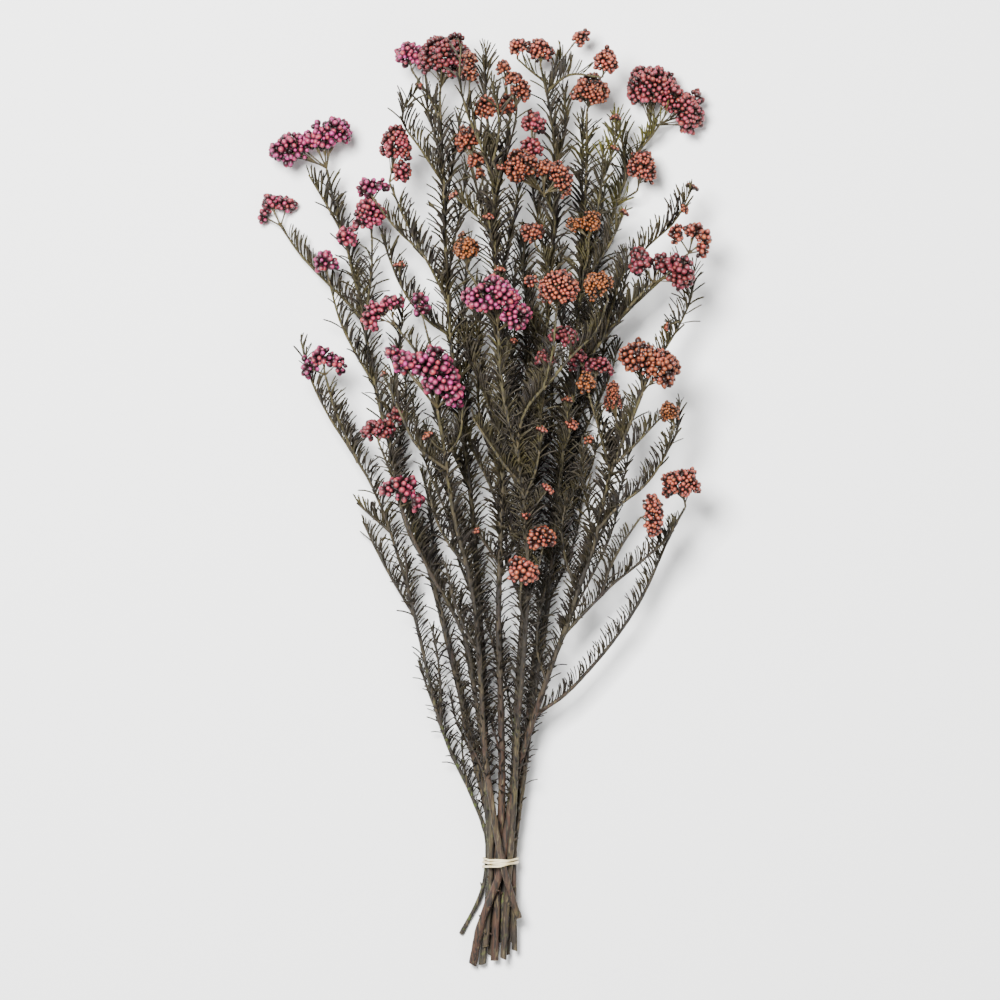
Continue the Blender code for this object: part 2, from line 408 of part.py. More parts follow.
def ease_apart(runs, lobes):
    """Bends the runs clear of each other, of the flower heads and of the table, mostly up and down."""
    first = dict(zip(map(id, runs), np.cumsum([0] + [len(run.points) for run in runs])))
    rest = np.concatenate([run.points for run in runs])
    thick = np.concatenate([run.radii for run in runs])
    ends, owner, held, joints = [], [], [], []
    for run in runs:
        start, last = first[id(run)], first[id(run)] + len(run.points) - 1
        ends += [(step, step + 1) for step in range(start, last)]
        owner += [run.stem] * (last - start)
        if run.has_head:
            held.append(last)
        elif run.buds:
            thick[last] = BUD_RADIUS + 0.6
        if run.joint:
            parent, step, share = run.joint
            joints.append((start, first[id(parent)] + step, share))
    ends, owner = np.array(ends), np.array(owner)
    one, two = np.triu_indices(len(ends), 1)
    middles = rest[ends].mean(1)
    near = (owner[one] != owner[two]) & (np.linalg.norm(middles[one] - middles[two], axis=1) < 45)
    one, two = ends[one[near]], ends[two[near]]
    moved = np.zeros_like(rest)
    tied = np.abs(rest[:, 1] - TIE_AT) < BARE_RING
    floor = thick + FLOOR_GAP + tied * TIE_ROOM
    for turn in range(EASING_ROUNDS):
        push = np.zeros_like(rest)
        push_rods(rest + moved, thick, one, two, push)
        push_off_lobes(rest + moved, thick, ends, lobes, push)
        moved += push
        if turn < SMOOTHED_ROUNDS:
            for run in runs:
                part = moved[first[id(run)] : first[id(run)] + len(run.points)]
                part[1:-1] += 0.2 * ((part[:-2] + part[2:]) / 2 - part[1:-1])
                part[-1] += 0.2 * (part[-2] - part[-1])
        moved[:, 2] = np.maximum(moved[:, 2], floor - rest[:, 2])
        moved[held] = 0
        for child, parent, share in joints:
            now = rest + moved
            moved[child] = blend(now[parent], now[parent + 1], share) - rest[child]
    for run in runs:
        run.points = (rest + moved)[first[id(run)] : first[id(run)] + len(run.points)]


def push_rods(now, thick, one, two, push):
    share_a, share_b = nearest_shares(now[one[:, 0]], now[one[:, 1]], now[two[:, 0]], now[two[:, 1]])
    apart = blend(now[one[:, 0]], now[one[:, 1]], share_a) - blend(now[two[:, 0]], now[two[:, 1]], share_b)
    distance = np.linalg.norm(apart, axis=1)
    need = CLEARANCE + thick[one[:, 0]] + (thick[one[:, 1]] - thick[one[:, 0]]) * share_a
    need += thick[two[:, 0]] + (thick[two[:, 1]] - thick[two[:, 0]]) * share_b
    tight = distance < need
    way = apart[tight] * (0.5, 0.5, 1) + (0, 0, 1e-3)
    way *= ((need - distance)[tight] * 0.5 / np.linalg.norm(way, axis=1))[:, None]
    for rod, share, sign in ((one[tight], share_a[tight, None], 1), (two[tight], share_b[tight, None], -1)):
        np.add.at(push, rod[:, 0], sign * way * (1 - share))
        np.add.at(push, rod[:, 1], sign * way * share)


def push_off_lobes(now, thick, ends, lobes, push):
    for lobe in lobes:
        grown = lobe.half + CLEARANCE + thick[ends].max(1)[:, None]
        start, stop = (now[ends[:, 0]] - lobe.centre) / grown, (now[ends[:, 1]] - lobe.centre) / grown
        share = nearest_on(start, stop, np.zeros(3))
        spot = blend(start, stop, share)
        depth = np.linalg.norm(spot, axis=1)
        inside = depth < 1
        way = spot[inside] * ((1 / np.maximum(depth[inside], 1e-3) - 1)[:, None] * grown[inside])
        np.add.at(push, ends[inside, 0], way * (1 - share[inside, None]))
        np.add.at(push, ends[inside, 1], way * share[inside, None])


def ring_frames(run):
    """The direction of a shoot at each of its points, and a side of it that doesn't twist."""
    steps = [Vector(step).normalized() for step in np.diff(run.points, axis=0)]
    ways = [steps[0]] + [(a + b).normalized() for a, b in zip(steps, steps[1:])] + [steps[-1]]
    sides = [ways[0].orthogonal().normalized()]
    for before, way in zip(ways, ways[1:]):
        side = sides[-1].copy()
        side.rotate(before.rotation_difference(way))
        sides.append(side)
    return ways, sides


def around(way, side, turn):
    return np.array(Matrix.Rotation(turn, 3, way) @ side)


def needle_tries(turn, lean, facet, sides):
    """Turns and leans for one needle leaf, the wanted one first, within reach of its facet."""
    middle = 2 * math.pi * (facet + 0.5) / sides
    off = (turn - middle + math.pi) % (2 * math.pi) - math.pi
    for swing, stoop in ((0, 1), (0.4, 1), (-0.4, 1), (0, 0.6), (0.8, 0.8), (-0.8, 0.8), (0, 0.35)):
        yield middle + max(-0.9, min(0.9, off + swing)), lean * stoop


def grow_needles(runs, lobes):
    """Needle leaves for each run, each bent clear of what it would cross, or left out."""
    draw = random.Random(SEED)
    space = occupied_space(runs)
    for run in runs:
        sides = TWIG_SIDES if run.joint else STEM_SIDES
        ways, normals = ring_frames(run)
        others = np.array([other is not run for other in space.owner])
        bare_points = 2 if run.bears else 1
        for number in range(1, len(run.points) - bare_points):
            point, way, side = run.points[number], ways[number], normals[number]
            if point[1] < LEAFY_FROM:
                continue
            for leaf in range(NEEDLES_A_RING):
                turn = number * GOLDEN_ANGLE + 2 * math.pi * leaf / NEEDLES_A_RING
                facet = int(turn / (2 * math.pi) * sides) % sides
                length = NEEDLE_LENGTH * draw.uniform(0.8, 1.15)
                lean = NEEDLE_LEAN * draw.uniform(0.8, 1.2)
                for try_turn, try_lean in needle_tries(turn, lean, facet, sides):
                    out = around(way, side, try_turn)
                    root = point + out * run.radii[number] * 0.6 + np.array(way) * 0.6
                    tip = root + (np.array(way) * math.cos(try_lean) + out * math.sin(try_lean)) * length
                    if is_clear(root, tip, space, others, lobes):
                        run.needles.append((number, facet, tip))
                        space.leaves.append((root, tip))
                        break


def occupied_space(runs):
    """The straight rods that every shoot is made of, with their radii, and the leaves grown so far."""
    space = SimpleNamespace(owner=[], start=[], stop=[], start_radius=[], stop_radius=[], leaves=[])
    for run in runs:
        for step in range(len(run.points) - 1):
            at_buds = run.buds and step == len(run.points) - 2
            space.owner.append(run)
            space.start.append(run.points[step])
            space.stop.append(run.points[step + 1])
            space.start_radius.append(run.radii[step])
            space.stop_radius.append(BUD_RADIUS + 0.6 if at_buds else run.radii[step + 1])
    for key in ("start", "stop", "start_radius", "stop_radius"):
        setattr(space, key, np.array(getattr(space, key)))
    return space


def is_clear(root, tip, space, others, lobes):
    """Whether a needle leaf from root to tip keeps clear of the table, shoots, leaves and heads."""
    if tip[2] < FLOOR_GAP:
        return False
    start = blend(root, tip, 0.15)
    share, other = nearest_shares(start, tip, space.start[others], space.stop[others])
    apart = blend(start, tip, share) - blend(space.start[others], space.stop[others], other)
    thick = np.maximum(space.start_radius, space.stop_radius)[others] + NEEDLE_RADIUS * (1 - share)
    if (np.linalg.norm(apart, axis=1) < thick + CLEARANCE).any():
        return False
    if space.leaves:
        starts, stops = np.swapaxes(np.array(space.leaves), 0, 1)
        share, other = nearest_shares(start, tip, starts, stops)
        apart = blend(start, tip, share) - blend(starts, stops, other)
        if (np.linalg.norm(apart, axis=1) < NEEDLE_RADIUS * (2 - share - other) + CLEARANCE).any():
            return False
    for lobe in lobes:
        grown = lobe.half + NEEDLE_RADIUS + CLEARANCE
        low, high = (root - lobe.centre) / grown, (tip - lobe.centre) / grown
        if np.linalg.norm(blend(low, high, nearest_on(low, high, np.zeros(3)))) < 1:
            return False
    return True


def mesh_piece(shape):
    bmesh.ops.scale(shape, verts=shape.verts, vec=(MM, MM, MM))
    mesh = bpy.data.meshes.new("piece")
    shape.to_mesh(mesh)
    shape.free()
    piece = bpy.data.objects.new("piece", mesh)
    bpy.context.scene.collection.objects.link(piece)
    return piece


def shoot_piece(run):
    """A tapered shoot with a ring of corners at each point, and its needle leaves drawn out of the sides."""
    sides = TWIG_SIDES if run.joint else STEM_SIDES
    ways, normals = ring_frames(run)
    leaves = {(number, facet): tip for number, facet, tip in run.needles}
    shape = bmesh.new()
    rings = []
    for point, radius, way, side in zip(run.points, run.radii, ways, normals):
        outs = [around(way, side, 2 * math.pi * corner / sides) for corner in range(sides)]
        rings.append([shape.verts.new(point + out * radius) for out in outs])
    for number, (before, after) in enumerate(zip(rings, rings[1:])):
        for facet in range(sides):
            low, lower = before[facet], before[(facet + 1) % sides]
            high, higher = after[facet], after[(facet + 1) % sides]
            if (number, facet) not in leaves:
                shape.faces.new((low, lower, higher, high))
                continue
            middle = (low.co + lower.co) / 2
            upper = shape.verts.new(middle + Vector(ways[number]) * NEEDLE_FOOT)
            tip = shape.verts.new(leaves[number, facet])
            for one, two in ((low, lower), (lower, upper), (upper, low)):
                shape.faces.new((one, two, tip))
            for corners in ((low, upper, high), (upper, lower, higher), (upper, higher, high)):
                shape.faces.new(corners)
    shape.faces.new(rings[0][::-1])
    if run.bears:
        shape.faces.new(rings[-1])
    else:
        tip = shape.verts.new(run.points[-1] + np.array(ways[-1]) * TIP_NEEDLE)
        for one, two in zip(rings[-1], rings[-1][1:] + rings[-1][:1]):
            shape.faces.new((one, two, tip))
    return mesh_piece(shape)


def stalk_piece(points, radii):
    plain = SimpleNamespace(points=np.array(points), radii=radii, joint=True, bears=True, needles=[])
    return shoot_piece(plain)


def loose_buds(point, way, count):
    """One to three round buds standing side by side on a twig's tip."""
    side = np.array(Vector(way).orthogonal().normalized())
    buds = []
    for number in range(count):
        swing = number - (count - 1) / 2
        shape = bmesh.new()
        bmesh.ops.create_icosphere(shape, subdivisions=1, radius=BUD_RADIUS)
        centre = point + side * swing * BUD_RADIUS * 1.5 + way * (0.8 if number % 2 else 0)
        bmesh.ops.translate(shape, verts=shape.verts, vec=centre)
        buds.append(mesh_piece(shape))
    return buds


def spiral_points(lobe, way, rest):
    """Evenly spread points on a lobe, close together where buds stand and sparse beneath them."""
    a, b, c = lobe.half
    power = 1.6
    mean = ((a * b) ** power + (a * c) ** power + (b * c) ** power) / 3
    count = max(9, round(4 * math.pi * mean ** (1 / power) / (BUD_PITCH**2 * 0.87)))
    frame = Vector(way).to_track_quat("Z", "Y").to_matrix()
    for number in range(count):
        height = 1 - (2 * number + 1) / count
        budded = height > UNDERSIDE
        if not budded and number % 3 and number < count - 1:
            continue
        ring = math.sqrt(1 - height * height)
        turn = number * GOLDEN_ANGLE
        out = np.array(frame @ Vector((ring * math.cos(turn), ring * math.sin(turn), height)))
        spot = lobe.centre + out * lobe.half * (1 if budded else 0.85)
        if number % 3 and any(np.linalg.norm((spot - other.centre) / other.half) < HIDDEN for other in rest):
            continue
        yield spot


def lobe_piece(lobe, way, rest):
    """A closed shell of buds: a pointed cell for each one, with a valley all round it."""
    spots = list(spiral_points(lobe, way, rest))
    hull = bmesh.new()
    for spot in spots:
        hull.verts.new(spot)
    bmesh.ops.convex_hull(hull, input=hull.verts)
    bmesh.ops.triangulate(hull, faces=hull.faces)
    hull.faces.index_update()
    shape = bmesh.new()
    valleys = []
    for face in hull.faces:
        middle = np.array(face.calc_center_median())
        valleys.append(shape.verts.new(blend(lobe.centre, middle, VALLEY)))
    for vert in hull.verts:
        if not vert.link_loops:
            continue
        bud = shape.verts.new(vert.co)
        for loop in vert.link_loops:
            beside = loop.link_loop_prev.link_loop_radial_next
            shape.faces.new((valleys[loop.face.index], valleys[beside.face.index], bud))
    hull.free()
    bmesh.ops.recalc_face_normals(shape, faces=shape.faces)
    return mesh_piece(shape)


def fuse(name, pieces, material):
    """Joins the pieces in one closed body, without scraps or sealed hollows."""
    body, others = pieces[0], pieces[1:]
    if others:
        helpers = bpy.data.collections.new("helpers")
        for piece in others:
            helpers.objects.link(piece)
        joining = body.modifiers.new("join", "BOOLEAN")
        joining.operation = "UNION"
        joining.operand_type = "COLLECTION"
        joining.collection = helpers
        joining.solver = "MANIFOLD"
        graph = bpy.context.evaluated_depsgraph_get()
        joined = bpy.data.meshes.new_from_object(body.evaluated_get(graph))
        body.modifiers.clear()
        body.data = joined
        for piece in others:
            bpy.data.objects.remove(piece)
        bpy.data.collections.remove(helpers)
    keep_outer_body(body.data)
    body.name = name
    body.data.name = name
    body.data.materials.clear()
    body.data.materials.append(material)
    body.data.shade_smooth()
    body.data.set_sharp_from_angle(angle=math.radians(50))
    return body


def keep_outer_body(mesh):
    """Keeps the largest set of faces that are joined along their edges, and drops the others."""
    shape = bmesh.new()
    shape.from_mesh(mesh)
    left, islands = set(shape.faces), []
    while left:
        island, reached = [], [left.pop()]
        while reached:
            face = reached.pop()
            island.append(face)
            for edge in face.edges:
                beside = left.intersection(edge.link_faces)
                left -= beside
                reached += beside
        islands.append(island)
    islands.sort(key=len)
    for island in islands[:-1]:
        bmesh.ops.delete(shape, geom=island, context="FACES")
    shape.to_mesh(mesh)
    shape.free()


def place(body, at):
    """Moves the body's origin to the point that it is held by, and leaves the shape where it is."""
    at = Vector(at) * MM
    body.data.transform(Matrix.Translation(-at))
    body.location = at


def material(name, colour, roughness):
    made = bpy.data.materials.new(name)
    made.diffuse_color = (*colour, 1)
    made.use_nodes = True
    shader = made.node_tree.nodes["Principled BSDF"]
    shader.inputs["Base Color"].default_value = (*colour, 1)
    shader.inputs["Roughness"].default_value = roughness
    shader.inputs["Metallic"].default_value = 0
    return made


def stem_body(stem, runs, bark):
    pieces = []
    for run in runs:
        if run.stem != stem:
            continue
        way = unit(run.points[-1] - run.points[-2])
        if run.has_head:
            run.points[-1] -= way * SEAT_GAP
        pieces.append(shoot_piece(run))
        if run.has_head:
            run.points[-1] += way * SEAT_GAP
        pieces += loose_buds(run.points[-1], way, run.buds)
    body = fuse(stem, pieces, bark)
    place(body, next(run for run in runs if run.stem == stem).points[0])


def head_body(head, runs, lobes, buds):
    """A flower head: its lobes of buds on short stalks that spread from the twig's tip."""
    run = next(run for run in runs if run.bears == head)
    knot = run.points[-1]
    fork = knot + unit(knot - run.points[-2]) * STALK_START
    pieces = []
    own = [lobe for lobe in lobes if lobe.head == head]
    for lobe in own:
        rest = [other for other in own if other is not lobe]
        route = [fork, lobe.centre] if pieces else [knot, fork, lobe.centre]
        pieces.append(lobe_piece(lobe, unit(lobe.centre - knot), rest))
        pieces.append(stalk_piece(route, [STALK_RADIUS] * len(route)))
    body = fuse(head, pieces, buds)
    place(body, knot)


def band_outline(runs, where, extra):
    """Corners, in X and Z, of the loop that lies round all the stems where they cross the tie."""
    circles = []
    for run in runs:
        if run.joint:
            continue
        for y in where:
            spot = [np.interp(y, run.points[:12, 1], run.points[:12, axis]) for axis in (0, 2)]
            circles.append((*spot, np.interp(y, run.points[:12, 1], run.radii[:12]) * 1.05))
    circles = np.array(circles)
    turns = np.arange(TIE_SIDES) * 2 * math.pi / TIE_SIDES
    outs = np.stack([np.cos(turns), np.sin(turns)], axis=1)
    reach = (outs @ circles[:, :2].T + circles[:, 2]).max(1) + SEAT_GAP + extra
    return [
        np.linalg.solve(outs[[side, side - 1]], reach[[side, side - 1]]) for side in range(TIE_SIDES)
    ]


def tie_body(runs, rubber):
    """Turns of a flat elastic band round the stems, the last one slanting across the others."""
    pieces = []
    where = np.linspace(-6, 6, 7) + TIE_AT
    middle = np.mean(band_outline(runs, where, 0), axis=0)
    for offset, slant in TIE_TURNS:
        shape = bmesh.new()
        rings = []
        for extra, sign in ((0, -1), (TIE_THICKNESS, -1), (TIE_THICKNESS, 1), (0, 1)):
            ring = []
            for x, z in band_outline(runs, where, extra):
                y = TIE_AT + offset + slant * (x - middle[0]) + sign * TIE_WIDTH / 2
                ring.append(shape.verts.new((x, y, z)))
            rings.append(ring)
        for before, after in zip(rings, rings[1:] + rings[:1]):
            for side in range(TIE_SIDES):
                shape.faces.new((before[side - 1], before[side], after[side], after[side - 1]))
        bmesh.ops.recalc_face_normals(shape, faces=shape.faces)
        pieces.append(mesh_piece(shape))
    body = fuse("tie_band", pieces, rubber)
    place(body, (middle[0], TIE_AT, 0))


def main():
    for old in list(bpy.data.objects):
        bpy.data.objects.remove(old)
    runs, lobes = lay_out_runs(), lobe_list()
    ease_apart(runs, lobes)
    grow_needles(runs, lobes)
    bark = material("bark and needle leaves", (0.07, 0.05, 0.03), 0.8)
    for stem in STEMS:
        stem_body(stem, runs, bark)
    buds = {name: material(name + " buds", colour, 0.6) for name, colour in COLOURS.items()}
    for head, (colour, _) in HEADS.items():
        head_body(head, runs, lobes, buds[colour])
    tie_body(runs, material("cream rubber", (0.75, 0.66, 0.45), 0.5))


main()
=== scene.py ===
import math
import random
from types import SimpleNamespace

import bpy
import numpy as np
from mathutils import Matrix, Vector


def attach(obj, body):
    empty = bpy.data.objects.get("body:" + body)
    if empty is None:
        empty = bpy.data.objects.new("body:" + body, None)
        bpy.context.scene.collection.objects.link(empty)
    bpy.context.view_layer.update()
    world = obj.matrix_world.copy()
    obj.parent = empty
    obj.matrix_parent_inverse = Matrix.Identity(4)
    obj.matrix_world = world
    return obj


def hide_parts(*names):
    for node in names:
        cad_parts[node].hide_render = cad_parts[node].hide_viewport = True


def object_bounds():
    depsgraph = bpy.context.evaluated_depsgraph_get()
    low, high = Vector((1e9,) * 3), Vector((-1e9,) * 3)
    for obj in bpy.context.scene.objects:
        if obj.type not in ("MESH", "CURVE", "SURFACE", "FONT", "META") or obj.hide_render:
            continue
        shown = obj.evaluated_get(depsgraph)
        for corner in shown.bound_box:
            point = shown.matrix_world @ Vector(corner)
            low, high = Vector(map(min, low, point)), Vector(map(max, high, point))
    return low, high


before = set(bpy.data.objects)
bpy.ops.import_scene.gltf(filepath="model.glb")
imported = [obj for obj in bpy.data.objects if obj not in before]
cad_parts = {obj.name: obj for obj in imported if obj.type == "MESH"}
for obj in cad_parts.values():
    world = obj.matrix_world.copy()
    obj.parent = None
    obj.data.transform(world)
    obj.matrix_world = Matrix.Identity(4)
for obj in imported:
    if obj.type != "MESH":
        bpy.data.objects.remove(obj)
cad_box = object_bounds()

MM = 0.001
FULL_TURN = 6.28
GOLDEN_ANGLE = math.pi * (3 - math.sqrt(5))
NEARLY_NOTHING = 1e-9
draw = random.Random(11)

# The bunch is set out as its solids are, so these say the same as they do, in millimetres:
# the gaps kept, and the rounds of easing the shoots apart
SEAT_GAP = 0.3
CLEARANCE = 0.5
FLOOR_GAP = 0.4
TIE_ROOM = 2.9
FAR_APART = 45
EASING_ROUNDS = 260
SMOOTHED_ROUNDS = 100
SMOOTHING = 0.2
# How far apart the points of a cut stem, of a side twig and of bare wood are, and how fine the curve between
STEM_RING = 27.0
TWIG_RING = 25.0
BARE_RING = 34.0
CURVE_PARTS = 12
# Heights where the leaves begin and where the tie is
LEAFY_FROM = -172.0
TIE_AT = -231.2
# How much thinner a side twig gets, the room that its loose buds take at its tip, and how far beyond it a
# head's stalks part
SIDE_TAPER = 0.72
LOOSE_BUDS_RADIUS = 3.0
STALK_START = 1.5

# Turns of the elastic: how far up from the tie's middle, how slanting and how far off the stems
TIE_TURNS = ((1.9, 0.0, 0.45), (-0.2, 0.0, 0.4), (-1.4, 0.16, 0.95), (0.9, 0.13, 0.75))
# The band's half width where it is flat, the radius of its edges, and the points round one turn
BAND_FLAT = 0.36
BAND_EDGE = 0.34
BAND_POINTS = 72

# The wood's curves are drawn in steps of this length. The lowest part has stubs of twigs on it, apart from
# the tie, and there are knots all over.
CURVE_STEP = 4.0
STUBS_UP_TO = -120
STUB_SHARE = 0.2
TIE_HALF_WIDTH = 7
KNOT_SHARE = 0.1
KNOT_SIZE = 1.18
CUT_SLANT = 0.55

# Twigs that only this model has: how far they bend at both ends, for their length, and their steps and radii
FILLING_BENDS = (0.35, 0.3)
FILLING_STEP = 14
FILLING_RADII = (0.8, 0.5)

# Leaves: how far apart along a shoot, their size, their least bend in radians, how many stray, and how
# strongly they turn to the light
LEAF_STEP = 0.86
LEAF_LENGTH = 12.0
LEAF_HALF_WIDTH = 0.62
LEAF_HALF_DEPTH = 0.52
LEAST_BEND = 0.02
STRAY_LEAVES = 0.04
UPWARD_PULLS = (1.6, 2.4, 2.4, 3.0, 3.0, 4.0, 4.0, 6.0)
# How they change up the bunch: heights, and there how much further apart and how much longer they are,
# and their lean and their bend in degrees
LEAF_GAPS = (-234, -110, -70, -10, 0, 250), (3.35, 1.35, 1.35, 1, 1, 1.5)
LEAF_SIZES = (-150, 250), (0.82, 1.3)
LEAF_LEANS = (0, 250), (38, 31)
LEAF_BENDS = (0, 250), (32, 22)
# Over how long a part of a shoot they get smaller, and fresher in colour
SMALLER_UNDER_HEAD = 26
SMALLER_AT_TIP = 15
FRESH_TIP = 22
# How far they may stand out of the solids' box, and how many of those that lie over a head stay
LEAVES_PROUD = 1.5
LEAVES_OVER_HEADS = 0.3

# Radii of the buds of each colour, and of those heads whose buds are larger or smaller than that
BUD_SIZES = {
    "magenta": 2.05, "pink": 1.95, "rose": 1.75, "dark_rose": 1.7, "coral": 1.5, "rust": 1.5,
    "orange": 1.25, "head_09": 1.95, "head_11": 2.3, "head_36": 1.9, "head_15": 2.15, "head_20": 1.9,
    "head_21": 1.65, "head_38": 2.05, "head_39": 1.8, "head_42": 0.9, "head_43": 1.9, "head_44": 0.95,
}
# How far apart buds are, in bud radii, outside and deep inside a head, and the largest for their lobe
BUD_PITCH = 1.86
INNER_PITCH = 1.9
LARGEST_BUD = 0.42
# The part of a square that a bud takes up, when they are packed like a honeycomb
HONEYCOMB = 0.87
BUDS_A_SPRAY = 7
MISSING_BUDS = 0.05
# How far into its lobe a main branch reaches, and radii of the stalks of a bud, a spray, a lobe and a head
BRANCH_REACH = 0.6
STALKLET = 0.2
SPRAY_STALK = 0.3
LOBE_STALK = 0.5
HEAD_STALK = 0.62

# A bud's colours: painted shade deep down and between the buds, its own colour half-way up, and a painted
# highlight on top, whose hue goes from pale to blush
BUD_COLOURS = {
    "magenta": ("#1a080a", "#431526", "#a43073", "#9d3a3e"),
    "pink": ("#1a0809", "#43171f", "#a73263", "#9c3d3b"),
    "rose": ("#190908", "#401718", "#9d3b4f", "#8c3d2e"),
    "dark_rose": ("#150606", "#391314", "#833144", "#6f2e26"),
    "coral": ("#1c0a06", "#3f1b16", "#ad4c40", "#9e5634"),
    "rust": ("#1a0905", "#3b1a14", "#994835", "#8d4c28"),
    "orange": ("#1d0e05", "#44210f", "#985627", "#8a4a1e"),
}

# Places, in X and Y, where the youngest leaves are still yellow-green, and how wide these are
YOUNG = ((76.5, 220), (117, 240), (80, 240), (90, 184), (100, 228))
YOUNG_REACH = 10

# How reddish, how greenish and how mossy the bark is near the cut, for one stem after the other
BARK_HUES = ((0.15, 0, 0.3), (0, 0.55, 1), (0.75, 0, 0.1), (0.1, 0, 0), (0, 0.35, 0.6), (0.4, 0, 0.2))

# Leafy twigs beyond the solids' own: the height at which each leaves its stem, and its tip
FILLING_TWIGS = {
    "stem_top_left": [(20, -6, 115, 16), (60, -8, 165, 24), (120, -10, 212, 30), (165, -14, 245, 34),
        (-80, -44, 66, 30), (205, -36, 258, 34), (-45, -36, 46, 20)],
    "stem_centre_top": [(-20, -14, 60, 30), (20, -12, 112, 36), (60, 21, 150, 44), (110, 23, 198, 48),
        (138, -8, 226, 52), (170, 22, 250, 54), (-30, 20, 106, 10), (0, -4, 120, 24), (205, 2, 284, 56),
        (-175, -7, -92, 20), (-120, -4, -40, 26)],
    "stem_centre": [(-60, 12, 10, 50), (-20, 8, 62, 62), (10, 38, 92, 70)],
    "stem_centre_right": [(0, 12, 108, 10), (-20, 28, 120, 12), (58, 24, 172, 15), (118, 30, 224, 19),
        (20, 29, 126, 16), (-165, 12, -86, 14)],
    "stem_top_right": [(110, 78, 200, 22), (120, 64, 244, 26)],
    "stem_outer_right": [(-87, 70, -18, 34), (-87, 86, 0, 44), (-45, 62, 35, 44), (-45, 92, 30, 50),
        (0, 88, 62, 46)],
    "stem_far_right": [(-38, 73, 38, 14), (10, 86, 100, 12), (75, 92, 158, 14)],
    "stem_right": [(-40, 66, 34, 30), (84, 92, 150, 34), (60, 70, 128, 52)],
    "stem_far_left": [(-176, -21, -122, 4)],
    "stem_outer_left": [(-180, -30, -118, 6), (-190, -13, -140, 14)],
    "stem_mid_left": [(-185, -17, -104, 26), (-150, -14, -58, 30), (20, -50, 126, 34)],
    "stem_front_left": [(-190, -14, -132, 30)],
}

